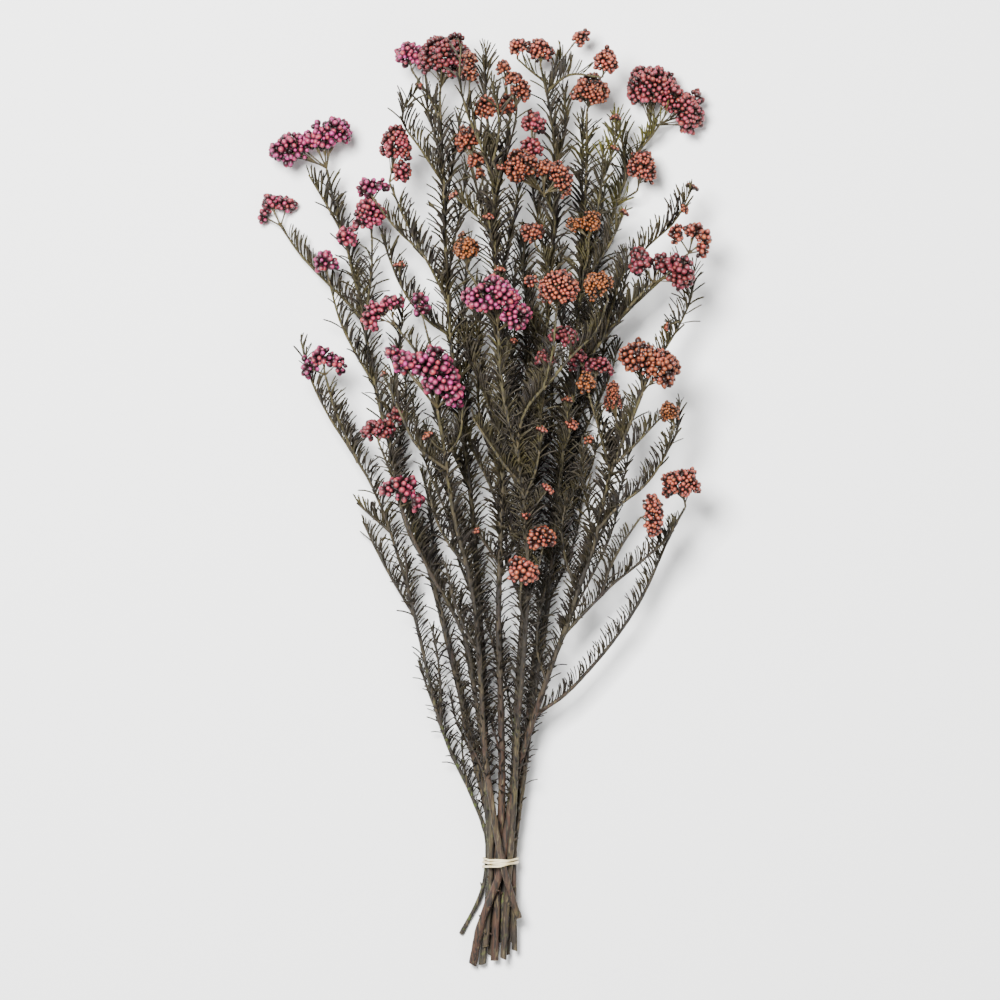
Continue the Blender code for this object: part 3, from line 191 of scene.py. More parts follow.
# The radius at each cut stem's tip, and its shoots, the cut stem itself first. Each shoot has what it bears
# at its tip (a head's name, or a number of loose buds), its radius at the base, and its route from there.
STEMS = {
    "stem_outer_left": (0.7, [
        (0, 1.4, (-14, -278, 2), (-5, -260, 3), (1.6, -243.8, 4.2), (3.5, -231.2, 4.2), (2.2, -216.1, 4.6),
          (-3, -197, 6), (-17, -169, 10), (-29, -136, 14), (-37, -101, 17), (-45, -67, 20), (-56, -29, 24),
          (-68, 4, 28), (-83, 30, 32), (-102, 61, 36), (-113, 89, 38), (-115, 101, 40)),
        ("head_04", 1, (-79, 23, 31), (-91, 50, 38), (-97, 69, 42), (-99, 77, 44)),
        (0, 0.9, (-61, -21, 25), (-73, -11, 22), (-82, -3, 20)),
        (0, 1, (-44, -74, 19), (-53, -60, 14), (-68, -33, 10), (-77, -14, 9)),
        (0, 0.9, (-47, -59, 21), (-48, -45, 28), (-49, -33, 33)),
        (0, 0.9, (-26, -142, 14), (-26, -117, 21), (-28, -98, 26), (-31, -81, 29)),
        (0, 0.9, (-29, -137, 14), (-35, -122, 9), (-41, -104, 7)),
    ]),
    "stem_far_left": (0.8, [
        ("head_01", 2.8, (4, -292, 3), (6, -268, 3.5), (7.9, -246.3, 4), (8.5, -231.2, 4.2),
          (7.2, -216.1, 4.8), (1, -193, 6.5), (-5, -168, 8), (-11, -139, 9), (-19, -105, 10),
          (-29, -64, 11.5), (-39, -29, 12.5), (-51, 4, 13.5), (-59, 34, 14), (-66, 62, 14.5), (-73, 94, 15),
          (-77, 122, 16.5), (-83, 149, 18), (-90, 171, 19), (-96, 195, 20), (-99, 209, 21)),
        (0, 0.9, (-90, 169, 19), (-99, 185, 25), (-106, 196, 30), (-111, 205, 33)),
        ("head_02", 0.9, (-77, 114, 16), (-89, 127, 14), (-104, 142, 12), (-119, 159, 10), (-128, 173, 8)),
        ("head_03", 0.9, (-69, 72, 15), (-82, 94, 19), (-91, 114, 24), (-97, 137, 28)),
        ("head_05", 0.9, (-78, 132, 17), (-82, 143, 22), (-85, 154, 27)),
        ("head_06", 0.9, (-75, 109, 16), (-72, 132, 23), (-70, 149, 29), (-70, 164, 34)),
        (0, 0.9, (-54, 18, 13.5), (-51, 43, 9), (-48, 66, 7), (-49, 84, 6)),
        (0, 0.9, (-33, -49, 12), (-32, -26, 7), (-34, -4, 5), (-39, 18, 4)),
    ]),
    "stem_top_left": (0.9, [
        ("head_09", 2.2, (0, -298, 6), (3, -275, 7), (5.9, -249.5, 8.6), (7.1, -231.2, 9),
          (6.5, -213.6, 9.8), (4, -190, 11.5), (3, -155, 14), (2, -114, 18), (-1, -76, 21.5), (-4, -38, 25),
          (-7, -1, 29), (-11, 31, 32), (-15, 62, 35), (-20, 97, 38), (-22, 132, 41), (-24, 173, 43),
          (-25, 214, 45), (-27, 240, 46), (-27, 254, 46)),
        ("head_08", 0.9, (-26, 239, 46), (-33, 253, 41), (-40, 264, 37), (-44, 270, 35)),
        (1, 0.8, (-25, 199, 44), (-34, 210, 50), (-45, 222, 55), (-54, 236, 58), (-53, 249, 59),
          (-44, 255, 58)),
        ("head_07", 0.9, (-22, 123, 40), (-33, 146, 46), (-44, 166, 51), (-53, 185, 54), (-58, 198, 56)),
        ("head_10", 0.8, (-38, 155, 48), (-49, 164, 46), (-60, 178, 46), (-68, 188, 47)),
        (0, 0.9, (-20, 103, 38.5), (-33, 112, 35), (-44, 123, 32), (-54, 140, 30), (-60, 157, 29),
          (-64, 168, 28)),
        (2, 0.7, (-52, 136, 30), (-53, 147, 33)),
        (0, 0.9, (-8, 6, 30), (-19, 30, 24), (-27, 51, 20), (-29, 72, 18)),
        (0, 0.9, (-2, -70, 22), (-13, -46, 16), (-19, -26, 13), (-23, -4, 12)),
        (0, 0.9, (-17, 72, 36), (-5, 94, 32), (-2, 116, 30), (-2, 138, 29)),
    ]),
    "stem_front_left": (1, [
        ("head_11", 2.3, (23, -268, 14), (19.2, -252, 17), (14.8, -240, 20), (11.7, -228.7, 20.8),
          (9.1, -213.6, 21.5), (5, -190, 24.5), (1, -155, 30), (-1, -120, 38), (-3, -89, 46), (-7, -54, 55),
          (-13, -32, 61), (-18, -10, 67), (-21, 9, 72), (-23, 26, 77), (-26, 43, 83), (-28, 55, 86)),
        ("head_12", 0.9, (-26, 40, 81), (-32, 64, 74), (-39, 86, 68), (-47, 100, 66), (-54, 108, 65)),
        ("head_13", 0.8, (-33, 69, 73), (-31, 88, 71), (-35, 105, 72)),
        (1, 0.9, (-22, 18, 76), (-32, 25, 81), (-44, 37, 84), (-51, 53, 85), (-54, 66, 84), (-61, 76, 82)),
        (0, 0.8, (-23, 26, 77), (-17, 34, 84), (-12, 45, 90), (-12, 57, 93)),
        (2, 0.7, (-24, 30, 78), (-29, 33, 84), (-34, 39, 87)),
        (0, 0.9, (-10, -43, 58), (-23, -26, 62), (-31, -8, 66), (-34, 9, 70)),
        (0, 0.9, (-2, -98, 44), (-13, -77, 50), (-19, -59, 55), (-23, -40, 59)),
    ]),
    "stem_mid_left": (0.9, [
        ("head_15", 1.9, (-1, -286, 9), (1, -268, 9.5), (3.5, -247.6, 11.5), (4.4, -231.2, 12.8),
          (4.7, -216.1, 14), (5, -190, 18), (0, -158, 23), (-5, -123, 29), (-10, -92, 36), (-19, -71, 42),
          (-27, -56, 47), (-36, -42, 52), (-44, -23, 57), (-51, -6, 60)),
        ("head_14", 0.9, (-36, -42, 52), (-48, -20, 46), (-56, 9, 48), (-61, 26, 55), (-65, 35, 59)),
        (0, 0.9, (-17, -74, 41), (-28, -54, 37), (-37, -32, 34), (-42, -10, 32)),
    ]),
    "stem_centre": (1, [
        ("head_16", 2.1, (13, -294, 12.5), (14, -272, 13), (15.4, -249.5, 15.5), (16.1, -231.2, 17.6),
          (16.7, -216.1, 18.6), (19, -190, 24), (21, -152, 33), (24, -120, 42), (27, -89, 52),
          (29, -57, 62), (29, -26, 71), (27, -1, 78), (24, 21, 84), (19, 40, 88), (14, 62, 93),
          (11, 84, 97), (10, 103, 100)),
        (0, 0.9, (26, 9, 80), (16, 20, 89), (5, 36, 95), (-5, 51, 98)),
        (2, 0.8, (27, -1, 78), (34, 17, 86), (38, 33, 90), (38, 42, 92)),
        ("head_18", 1.1, (25, 18, 83), (24, 42, 90), (29, 57, 93), (41, 71, 93), (55, 88, 92),
          (67, 100, 90), (76, 112, 88), (78, 123, 87)),
        ("head_17", 0.9, (38, 69, 93), (43, 88, 97), (45, 103, 99), (46, 115, 100)),
        ("head_19", 0.9, (27, -1, 78), (33, 28, 76), (37, 53, 76), (39, 72, 77)),
        ("head_21", 0.8, (29, -64, 60), (34, -50, 66), (37, -34, 71)),
        ("head_20", 0.8, (28, -79, 55), (24, -67, 66), (24, -57, 75)),
        (3, 0.8, (29, -29, 70), (39, -12, 78), (46, 4, 82)),
        (1, 0.7, (29, -33, 69), (32, -21, 75), (32, -13, 78)),
    ]),
    "stem_centre_top": (0.8, [
        ("head_22", 2.6, (7, -296, 7), (8, -272, 7.5), (9.1, -248.2, 9.5), (9.4, -231.2, 12.9),
          (10.4, -216.1, 14.4), (12, -190, 18), (12, -152, 24), (11, -114, 31), (10, -76, 38),
          (11, -38, 44), (12, -1, 50), (13, 37, 55), (11, 75, 60), (9, 113, 63), (8, 151, 66), (7, 188, 68),
          (5, 217, 69), (3, 235, 70)),
        ("head_23", 0.9, (7, 193, 68), (13, 210, 63), (16, 226, 61), (17, 238, 60)),
        ("head_24", 0.9, (7, 201, 68.5), (-1, 223, 73), (-6, 241, 74), (-8, 253, 74)),
        (0, 0.8, (-1, 223, 73), (-10, 244, 80), (-14, 264, 83), (-13, 283, 85)),
        (0, 0.8, (6, 210, 69), (10, 226, 78), (10, 244, 84), (6, 260, 87)),
        ("head_25", 0.8, (8, 157, 66), (5, 179, 60), (1, 195, 56), (0, 200, 55)),
        ("head_26", 0.9, (10, 97, 62), (3, 122, 66), (-5, 136, 69), (-9, 143, 70)),
        (2, 0.7, (8, 163, 66.5), (-2, 176, 71), (-11, 185, 73), (-17, 190, 74)),
        (1, 0.7, (7, 188, 68), (10, 198, 75), (12, 207, 78)),
        (2, 0.7, (8, 157, 66), (5, 168, 73), (4, 176, 76)),
        (2, 0.7, (9, 122, 63.5), (11, 134, 70), (11, 143, 73)),
        (1, 0.7, (11, 77, 60), (16, 90, 66), (19, 98, 68)),
        (1, 0.8, (11, -42, 43.5), (3, -30, 50), (-3, -21, 53)),
        (0, 0.9, (12, 12, 52), (2, 37, 46), (-3, 59, 44), (-3, 81, 44)),
        (0, 0.9, (11, -51, 42), (20, -29, 38), (22, -4, 36), (20, 18, 36)),
    ]),
    "stem_centre_right": (0.8, [
        ("head_28", 2.2, (9, -284, 4), (10, -262, 5), (11.7, -243.8, 8), (11.7, -231.2, 8.6),
          (12.9, -216.1, 9.4), (17, -190, 11.5), (20, -152, 14.5), (22, -114, 17), (25, -76, 19.5),
          (28, -38, 22), (31, -1, 24), (34, 37, 26), (37, 75, 28), (41, 113, 29), (44, 151, 30),
          (46, 188, 31), (46, 214, 31.5), (44, 240, 32), (39, 260, 32.5), (37, 273, 33)),
        ("head_27", 0.8, (38, 265, 32.5), (31, 270, 38), (25, 275, 42), (23, 277, 43)),
        ("head_29", 0.8, (41, 256, 32.5), (47, 273, 27), (53, 283, 25), (57, 288, 24)),
        ("head_30", 0.9, (40, 258, 32.5), (50, 266, 40), (63, 270, 46), (74, 266, 48)),
        ("head_31", 0.8, (46, 195, 31), (41, 200, 40), (35, 206, 46), (32, 210, 48)),
        ("head_32", 0.9, (45, 164, 30.5), (46, 175, 44), (43, 183, 57), (39, 190, 64)),
        ("head_33", 0.8, (43, 141, 30), (39, 152, 40), (34, 159, 47)),
        (0, 0.9, (46, 210, 31.5), (51, 227, 26), (53, 245, 23), (51, 261, 22)),
        (0, 0.9, (32, 15, 25), (42, 37, 18), (44, 59, 16), (43, 83, 16)),
        (0, 0.9, (26, -67, 20), (17, -45, 14), (15, -23, 12), (15, 1, 12)),
        (0, 0.9, (39, 97, 28.5), (29, 119, 23), (26, 141, 21), (26, 163, 21)),
    ]),
    "stem_top_right": (0.8, [
        ("head_34", 1.9, (15, -292, 6.5), (15, -272, 7), (16.7, -247.6, 8), (17, -231.2, 8.6),
          (18.6, -216.1, 9.4), (22, -190, 12), (27, -152, 14.5), (31, -114, 17.5), (36, -76, 20),
          (41, -38, 22), (46, -1, 24), (50, 37, 26), (55, 75, 27), (60, 113, 28), (63, 149, 29),
          (65, 188, 30), (66, 220, 31), (66, 244, 32)),
        (0, 0.9, (64, 154, 29), (71, 173, 36), (75, 195, 40), (77, 214, 42), (77, 224, 43)),
        (2, 0.7, (76, 200, 40.5), (81, 211, 44), (83, 220, 46)),
        (2, 0.6, (82, 214, 45), (85, 227, 49), (85, 239, 51)),
        (2, 0.8, (62, 136, 28.5), (74, 151, 34), (83, 166, 38), (89, 180, 40)),
        ("head_35", 0.8, (63, 141, 29), (67, 153, 40), (67, 163, 47)),
        (2, 0.7, (60, 110, 28), (68, 113, 34), (76, 117, 38)),
        (0, 0.9, (57, 93, 27), (49, 114, 22), (48, 137, 20), (50, 160, 19)),
        (0, 0.9, (43, -20, 23), (53, 4, 17), (55, 28, 15), (55, 51, 14)),
    ]),
    "stem_far_right": (0.9, [
        ("head_36", 2.2, (16, -283, 2.5), (15, -262, 3), (14.5, -243.2, 4), (13.9, -231.2, 4.2),
          (15.4, -216.1, 4.4), (21, -190, 5), (27, -152, 5), (34, -114, 5.5), (40, -76, 6), (46, -38, 6.5),
          (53, -1, 7), (58, 37, 7.5), (63, 75, 8), (66, 113, 8.5), (73, 147, 9), (82, 178, 9.5),
          (90, 202, 10), (99, 221, 10.5), (106, 235, 11)),
        ("head_37", 0.8, (86, 189, 10), (92, 192, 15), (97, 195, 20)),
        (0, 0.8, (100, 222, 10.5), (107, 230, 20), (114, 238, 26), (118, 246, 29)),
        (0, 0.8, (91, 203, 10), (90, 220, 16), (87, 234, 18), (83, 246, 20)),
        (0, 0.9, (60, 50, 7.5), (72, 72, 6), (77, 94, 5), (79, 118, 5)),
        (0, 0.9, (43, -64, 6), (54, -42, 5), (61, -20, 4.5), (65, 3, 4.5)),
    ]),
    "stem_right": (0.8, [
        ("head_39", 1.9, (20, -289, 9), (19, -272, 10), (19.2, -249.5, 12), (18.9, -231.2, 13),
          (20.5, -216.1, 13.8), (24, -190, 16), (29, -152, 20), (34, -114, 24), (39, -76, 28),
          (44, -38, 31), (48, -1, 34), (51, 31, 37), (56, 62, 40), (65, 84, 42), (76, 101, 44),
          (85, 112, 45), (97, 124, 46), (109, 135, 47.5), (120, 147, 49), (129, 154, 50)),
        (3, 0.8, (76, 101, 44), (82, 123, 51), (87, 140, 55), (99, 155, 55), (112, 166, 51), (123, 178, 47),
          (128, 188, 45), (132, 196, 44)),
        (2, 0.7, (124, 180, 47), (127, 182, 50)),
        ("head_38", 0.9, (85, 112, 45), (93, 122, 57), (100, 130, 62), (106, 135, 64)),
        (3, 0.8, (51, 31, 37), (54, 38, 48), (56, 46, 56)),
        (2, 0.6, (55, 42, 52), (53, 54, 58), (53, 61, 60)),
        (0, 0.9, (41, -64, 29), (32, -42, 34), (30, -20, 38), (32, 1, 41)),
    ]),
    "stem_outer_right": (1, [
        ("head_43", 2.6, (-5, -299, 4), (-2, -281, 9), (3, -262, 14.5), (9.8, -245.1, 15),
          (14.5, -231.2, 13), (16.7, -216.1, 14.8), (20, -190, 19), (24, -171, 22), (30, -149, 27),
          (34, -137, 30), (44, -105, 37), (52, -87, 41), (57, -66, 45), (65, -45, 50), (73, -20, 55),
          (77, 6, 60), (83, 23, 63), (90, 40, 67), (94, 57, 70), (100, 66, 74)),
        ("head_44", 0.9, (73, -20, 55), (82, -8, 60), (94, 1, 63), (106, 13, 64), (116, 30, 65),
          (120, 45, 65)),
        (0, 0.8, (114, 27, 65), (122, 42, 58), (124, 60, 52)),
        (0, 0.8, (83, 20, 62.5), (94, 31, 70), (104, 41, 74), (113, 51, 77)),
        ("head_45", 1, (52, -87, 41), (63, -75, 44), (76, -60, 47), (88, -50, 49), (102, -38, 51),
          (114, -27, 53), (123, -16, 55), (127, -6, 56)),
        ("head_46", 0.9, (75, -60, 47), (79, -46, 56), (86, -32, 62), (93, -20, 65), (98, -13, 66)),
        (0, 1.2, (34, -137, 30), (48, -128, 30), (63, -114, 30), (76, -98, 31), (88, -84, 32),
          (98, -67, 33), (107, -50, 35), (114, -33, 37), (123, -13, 40)),
        ("head_42", 0.8, (90, 39, 66.5), (85, 47, 63)),
        ("head_40", 0.9, (83, 21, 62.5), (77, 43, 58), (73, 61, 57), (71, 73, 59)),
        ("head_41", 0.8, (81, 15, 62), (75, 37, 72), (70, 53, 80), (67, 63, 84)),
        (2, 0.7, (77, 36, 71), (72, 32, 77), (69, 37, 81)),
        (0, 0.9, (87, 33, 65), (95, 53, 56), (104, 75, 50), (114, 93, 46), (126, 113, 43), (132, 129, 41),
          (134, 147, 40)),
        (1, 0.6, (125, 112, 43), (121, 111, 49), (117, 109, 51)),
        (0, 0.9, (60, -59, 46.5), (53, -40, 52), (50, -20, 57), (53, 1, 61)),
        (0, 0.9, (41, -115, 34), (35, -95, 40), (36, -75, 46), (40, -56, 51)),
    ]),
}

# The colour of each head and its lobes of buds, each a place, a width and a height
HEADS = {
    "head_01": ("magenta", (-123, 222, 21, 29, 21), (-107, 227, 22, 19, 18), (-95, 232, 22, 25, 20)),
    "head_02": ("pink", (-136, 189, 6.1, 13, 14), (-125, 186, 6.6, 13, 13), (-139, 180, 6.6, 9, 9)),
    "head_03": ("magenta", (-100, 149, 30, 15, 16)),
    "head_04": ("magenta", (-110, 83, 46, 13, 13), (-101, 89, 47, 15, 13), (-92, 85, 46, 11, 13)),
    "head_05": ("pink", (-86, 166, 31, 15, 16)),
    "head_06": ("pink", (-72, 179, 38, 22, 23)),
    "head_07": ("rose", (-54, 222, 58, 20, 28), (-51, 205, 58, 14, 14)),
    "head_08": ("magenta", (-47, 281, 34, 19, 19)),
    "head_09": ("dark_rose", (-23, 277, 47, 33, 33)),
    "head_10": ("magenta", (-72, 196, 48, 14, 14), (-63, 198, 48, 9, 9)),
    "head_11": ("magenta", (-31, 82, 93, 27, 24), (-20, 66, 92, 19, 23), (-48, 84, 92, 18, 18),
        (-56, 91, 92, 10, 11)),
    "head_12": ("pink", (-58, 122, 65, 18, 13), (-68, 115, 65, 14, 20)),
    "head_13": ("magenta", (-39, 120, 73, 10, 20)),
    "head_14": ("dark_rose", (-66, 43, 62, 25, 16), (-53, 52, 62, 11, 16)),
    "head_15": ("pink", (-51, 6, 63, 25, 15), (-42, -1, 63, 11, 11)),
    "head_16": ("magenta", (7, 125, 106, 38, 25), (20, 113, 105, 18, 18)),
    "head_17": ("coral", (47, 130, 101, 26, 24), (31, 135, 101, 9, 9)),
    "head_18": ("orange", (72, 133, 87, 20, 19)),
    "head_19": ("dark_rose", (51, 101, 79, 21, 15), (39, 87, 79, 15, 15)),
    "head_20": ("coral", (25, -46, 80, 21, 18)),
    "head_21": ("coral", (37, -25, 74, 16, 15)),
    "head_22": ("rust", (2, 244, 71, 15, 18)),
    "head_23": ("rust", (15, 246, 61, 13, 15), (24, 256, 61, 14, 14), (19, 264, 61, 13, 13),
        (13, 271, 61, 13, 11)),
    "head_24": ("rust", (-8, 269, 75, 11, 28)),
    "head_25": ("rust", (-10, 226, 54, 18, 19), (-3, 213, 54, 13, 14), (-1, 205, 55, 8, 10)),
    "head_26": ("orange", (-10, 156, 70, 16, 20)),
    "head_27": ("coral", (22, 285, 44, 14, 14)),
    "head_28": ("coral", (36, 283, 33, 15, 19)),
    "head_29": ("coral", (61, 292, 24, 11, 14)),
    "head_30": ("coral", (78, 275, 50, 15, 20)),
    "head_31": ("rose", (32, 236, 50, 16, 18), (31, 220, 50, 14, 18)),
    "head_32": ("rust", (24, 207, 70, 24, 23), (39, 207, 68, 13, 14), (49, 200, 66, 14, 25)),
    "head_33": ("rust", (32, 168, 50, 14, 15)),
    "head_34": ("rust", (69, 257, 33, 26, 23)),
    "head_35": ("orange", (68, 174, 50, 14, 15), (58, 173, 50, 11, 11)),
    "head_36": ("rose", (106, 262, 14.1, 34, 29), (129, 246, 14.1, 24, 32), (118, 255, 14.1, 21, 25)),
    "head_37": ("coral", (102, 210, 23, 18, 25)),
    "head_38": ("dark_rose", (100, 147, 67, 19, 20), (112, 147, 67, 13, 15), (123, 141, 67, 20, 24)),
    "head_39": ("coral", (123, 166, 52, 11, 14), (133, 168, 52, 14, 14), (140, 163, 52, 10, 15),
        (138, 156, 52, 9, 9)),
    "head_40": ("dark_rose", (72, 83, 60, 21, 16), (60, 88, 60, 14, 15)),
    "head_41": ("orange", (65, 72, 86, 14, 16)),
    "head_42": ("rust", (82, 62, 60, 11, 25)),
    "head_43": ("rust", (97, 88, 82, 26, 24), (112, 81, 81, 24, 27)),
    "head_44": ("orange", (117, 54, 66, 13, 14)),
    "head_45": ("coral", (125, 9, 59, 26, 21)),
    "head_46": ("coral", (106, -10, 68, 16, 29)),
}

# More lobes, that close the gaps inside a head
JOINING_LOBES = {
    "head_01": [(-115, 223, 22, 17, 17), (-101, 228, 22, 20, 20)],
    "head_08": [(-41, 277, 36, 14, 16)],
    "head_11": [(-27, 74, 93, 24, 22), (-39, 83, 92, 14, 16)],
    "head_12": [(-63, 119, 65, 11, 11)],
    "head_43": [(105, 85, 82, 20, 20)],
}


# Setting out


def blend(first, second, share):
    return first + (second - first) * np.asarray(share)[..., None]


def unit(way):
    return way / np.linalg.norm(way, axis=-1, keepdims=True)


def lengths_along(points):
    """How far along a row of points each one lies."""
    return np.concatenate([[0], np.cumsum(np.linalg.norm(np.diff(points, axis=0), axis=1))])


def nearest_shares(a0, a1, b0, b1):
    """How far along each of two straight lines, from 0 to 1, the two come nearest to each other."""
    along_a, along_b, between = a1 - a0, b1 - b0, a0 - b0
    aa = np.maximum((along_a * along_a).sum(-1), NEARLY_NOTHING)
    bb = np.maximum((along_b * along_b).sum(-1), NEARLY_NOTHING)
    ab = (along_a * along_b).sum(-1)
    a_off, b_off = (along_a * between).sum(-1), (along_b * between).sum(-1)
    share_a = np.clip((ab * b_off - a_off * bb) / np.maximum(aa * bb - ab * ab, NEARLY_NOTHING), 0, 1)
    share_b = np.clip((ab * share_a + b_off) / bb, 0, 1)
    share_a = np.clip((ab * share_b - a_off) / aa, 0, 1)
    return share_a, share_b


def nearest_on(start, stop, point):
    """How far along each straight line, from 0 to 1, it comes nearest to the point."""
    along = stop - start
    share = ((point - start) * along).sum(-1) / np.maximum((along * along).sum(-1), NEARLY_NOTHING)
    return np.clip(share, 0, 1)


def curve_point(before, start, stop, after, t):
    """The point a share t of the way from start to stop on the smooth curve through all four."""
    bend = 2 * start + (stop - before) * t
    bend = bend + (2 * before - 5 * start + 4 * stop - after) * t**2
    bend = bend + (3 * start - before - 3 * stop + after) * t**3
    return bend / 2


def resample(route, base, tip, ring):
    """Points a ring apart on a smooth curve through the route, wider apart where the stem is bare."""
    knots = [Vector(point) for point in route]
    knots = [2 * knots[0] - knots[1]] + knots + [2 * knots[-1] - knots[-2]]
    fine = []
    for four in zip(knots, knots[1:], knots[2:], knots[3:]):
        fine += [curve_point(*four, step / CURVE_PARTS) for step in range(CURVE_PARTS)]
    fine = np.array([*fine, knots[-2]])
    along = lengths_along(fine)
    leafy = fine[:, 1] > LEAFY_FROM
    measure = np.concatenate([[0], np.cumsum(np.diff(along) / np.where(leafy[1:], ring, BARE_RING))])
    count = max(2, math.ceil(measure[-1]))
    wanted = np.interp(np.linspace(0, measure[-1], count + 1), measure, along)
    points = np.stack([np.interp(wanted, along, fine[:, axis]) for axis in range(3)], axis=1)
    return points, base + (tip - base) * wanted / along[-1]


def lay_out_runs():
    """Every shoot as a run of points, each side shoot starting on the nearest shoot drawn before it."""
    runs = []
    for stem, (cut_stem_tip, shoots) in STEMS.items():
        own = []
        for bears, base, *route in shoots:
            tip = round(base * SIDE_TAPER, 2) if own else cut_stem_tip
            run = SimpleNamespace(stem=stem, bears=bears, joint=None)
            run.points, run.radii = resample(route, base, tip, TWIG_RING if own else STEM_RING)
            run.has_head = isinstance(bears, str)
            run.buds = 0 if run.has_head else bears
            if own:
                run.joint = nearest_joint(run.points[0], own)
            own.append(run)
        runs += own
    return runs


def nearest_joint(point, parents):
    """The parent shoot, the step along it and the share of that step where a side shoot starts."""
    joints = []
    for parent in parents:
        share = nearest_on(parent.points[:-1], parent.points[1:], point)
        away = np.linalg.norm(blend(parent.points[:-1], parent.points[1:], share) - point, axis=1)
        step = int(away.argmin())
        joints.append((away[step], parent, step, share[step]))
    return min(joints, key=lambda joint: joint[0])[1:]


def lobes_of(head, parts):
    """A head's lobes, with centres and half sizes. A lobe is as deep as its width or height, if less."""
    lobes = []
    for x, y, z, width, height in parts:
        half = np.array([width, height, min(width, height)]) / 2
        lobes.append(SimpleNamespace(head=head, centre=np.array([x, y, z], float), half=half))
    return lobes


def ease_apart(runs, lobes):
    """Bends the runs clear of each other, of the flower heads and of the table, mostly up and down."""
    first = dict(zip(map(id, runs), np.cumsum([0] + [len(run.points) for run in runs])))
    rest = np.concatenate([run.points for run in runs])
    thick = np.concatenate([run.radii for run in runs])
    ends, owner, held, joints = [], [], [], []
    for run in runs:
        start, last = first[id(run)], first[id(run)] + len(run.points) - 1
        ends += [(step, step + 1) for step in range(start, last)]
        owner += [run.stem] * (last - start)
        if run.has_head:
            held.append(last)
        elif run.buds:
            thick[last] = LOOSE_BUDS_RADIUS
        if run.joint:
            parent, step, share = run.joint
            joints.append((start, first[id(parent)] + step, share))
    ends, owner = np.array(ends), np.array(owner)
    one, two = np.triu_indices(len(ends), 1)
    middles = rest[ends].mean(1)
    apart = np.linalg.norm(middles[one] - middles[two], axis=1)
    near = (owner[one] != owner[two]) & (apart < FAR_APART)
    one, two = ends[one[near]], ends[two[near]]
    moved = np.zeros_like(rest)
    tied = np.abs(rest[:, 1] - TIE_AT) < BARE_RING
    floor = thick + FLOOR_GAP + tied * TIE_ROOM
    for turn in range(EASING_ROUNDS):
        push = np.zeros_like(rest)
        push_rods(rest + moved, thick, one, two, push)
        push_off_lobes(rest + moved, thick, ends, lobes, push)
        moved += push
        if turn < SMOOTHED_ROUNDS:
            for run in runs:
                part = moved[first[id(run)] : first[id(run)] + len(run.points)]
                part[1:-1] += SMOOTHING * ((part[:-2] + part[2:]) / 2 - part[1:-1])
                part[-1] += SMOOTHING * (part[-2] - part[-1])
        moved[:, 2] = np.maximum(moved[:, 2], floor - rest[:, 2])
        moved[held] = 0
        for child, parent, share in joints:
            now = rest + moved
            moved[child] = blend(now[parent], now[parent + 1], share) - rest[child]
    for run in runs:
        run.points = (rest + moved)[first[id(run)] : first[id(run)] + len(run.points)]


def push_rods(now, thick, one, two, push):
    """Pushes each two rods that are too near half of the way each, less sideways than up and down."""
    ends = now[one[:, 0]], now[one[:, 1]], now[two[:, 0]], now[two[:, 1]]
    share_a, share_b = nearest_shares(*ends)
    apart = blend(*ends[:2], share_a) - blend(*ends[2:], share_b)
    distance = np.linalg.norm(apart, axis=1)
    need = CLEARANCE + thick[one[:, 0]] + (thick[one[:, 1]] - thick[one[:, 0]]) * share_a
    need += thick[two[:, 0]] + (thick[two[:, 1]] - thick[two[:, 0]]) * share_b
    tight = distance < need
    way = apart[tight] * (0.5, 0.5, 1) + (0, 0, 1e-3)
    way *= ((need - distance)[tight] * 0.5 / np.linalg.norm(way, axis=1))[:, None]
    for rod, share, sign in ((one[tight], share_a[tight, None], 1), (two[tight], share_b[tight, None], -1)):
        np.add.at(push, rod[:, 0], sign * way * (1 - share))
        np.add.at(push, rod[:, 1], sign * way * share)


def push_off_lobes(now, thick, ends, lobes, push):
    """Pushes each rod that runs into a flower head straight out of it."""
    for lobe in lobes:
        grown = lobe.half + CLEARANCE + thick[ends].max(1)[:, None]
        start, stop = (now[ends[:, 0]] - lobe.centre) / grown, (now[ends[:, 1]] - lobe.centre) / grown
        share = nearest_on(start, stop, np.zeros(3))
        spot = blend(start, stop, share)
        depth = np.linalg.norm(spot, axis=1)
        inside = depth < 1
        way = spot[inside] * ((1 / np.maximum(depth[inside], 1e-3) - 1)[:, None] * grown[inside])
        np.add.at(push, ends[inside, 0], way * (1 - share[inside, None]))
        np.add.at(push, ends[inside, 1], way * share[inside, None])


def smooth_route(run):
    """A shoot's points a few millimetres apart on a curve, with radii, and the length up to each."""
    ahead, beyond = 2 * run.points[0] - run.points[1], 2 * run.points[-1] - run.points[-2]
    knots = np.concatenate([[ahead], run.points, [beyond]])
    points, radii = [], []
    for number in range(len(run.points) - 1):
        four = knots[number : number + 4]
        steps = max(2, round(np.linalg.norm(four[2] - four[1]) / CURVE_STEP))
        for t in np.arange(steps) / steps:
            points.append(curve_point(*four, t))
            radii.append(run.radii[number] + (run.radii[number + 1] - run.radii[number]) * t)
    run.route = np.array([*points, run.points[-1]])
    run.thick = np.array([*radii, run.radii[-1]])
    run.along = lengths_along(run.route)


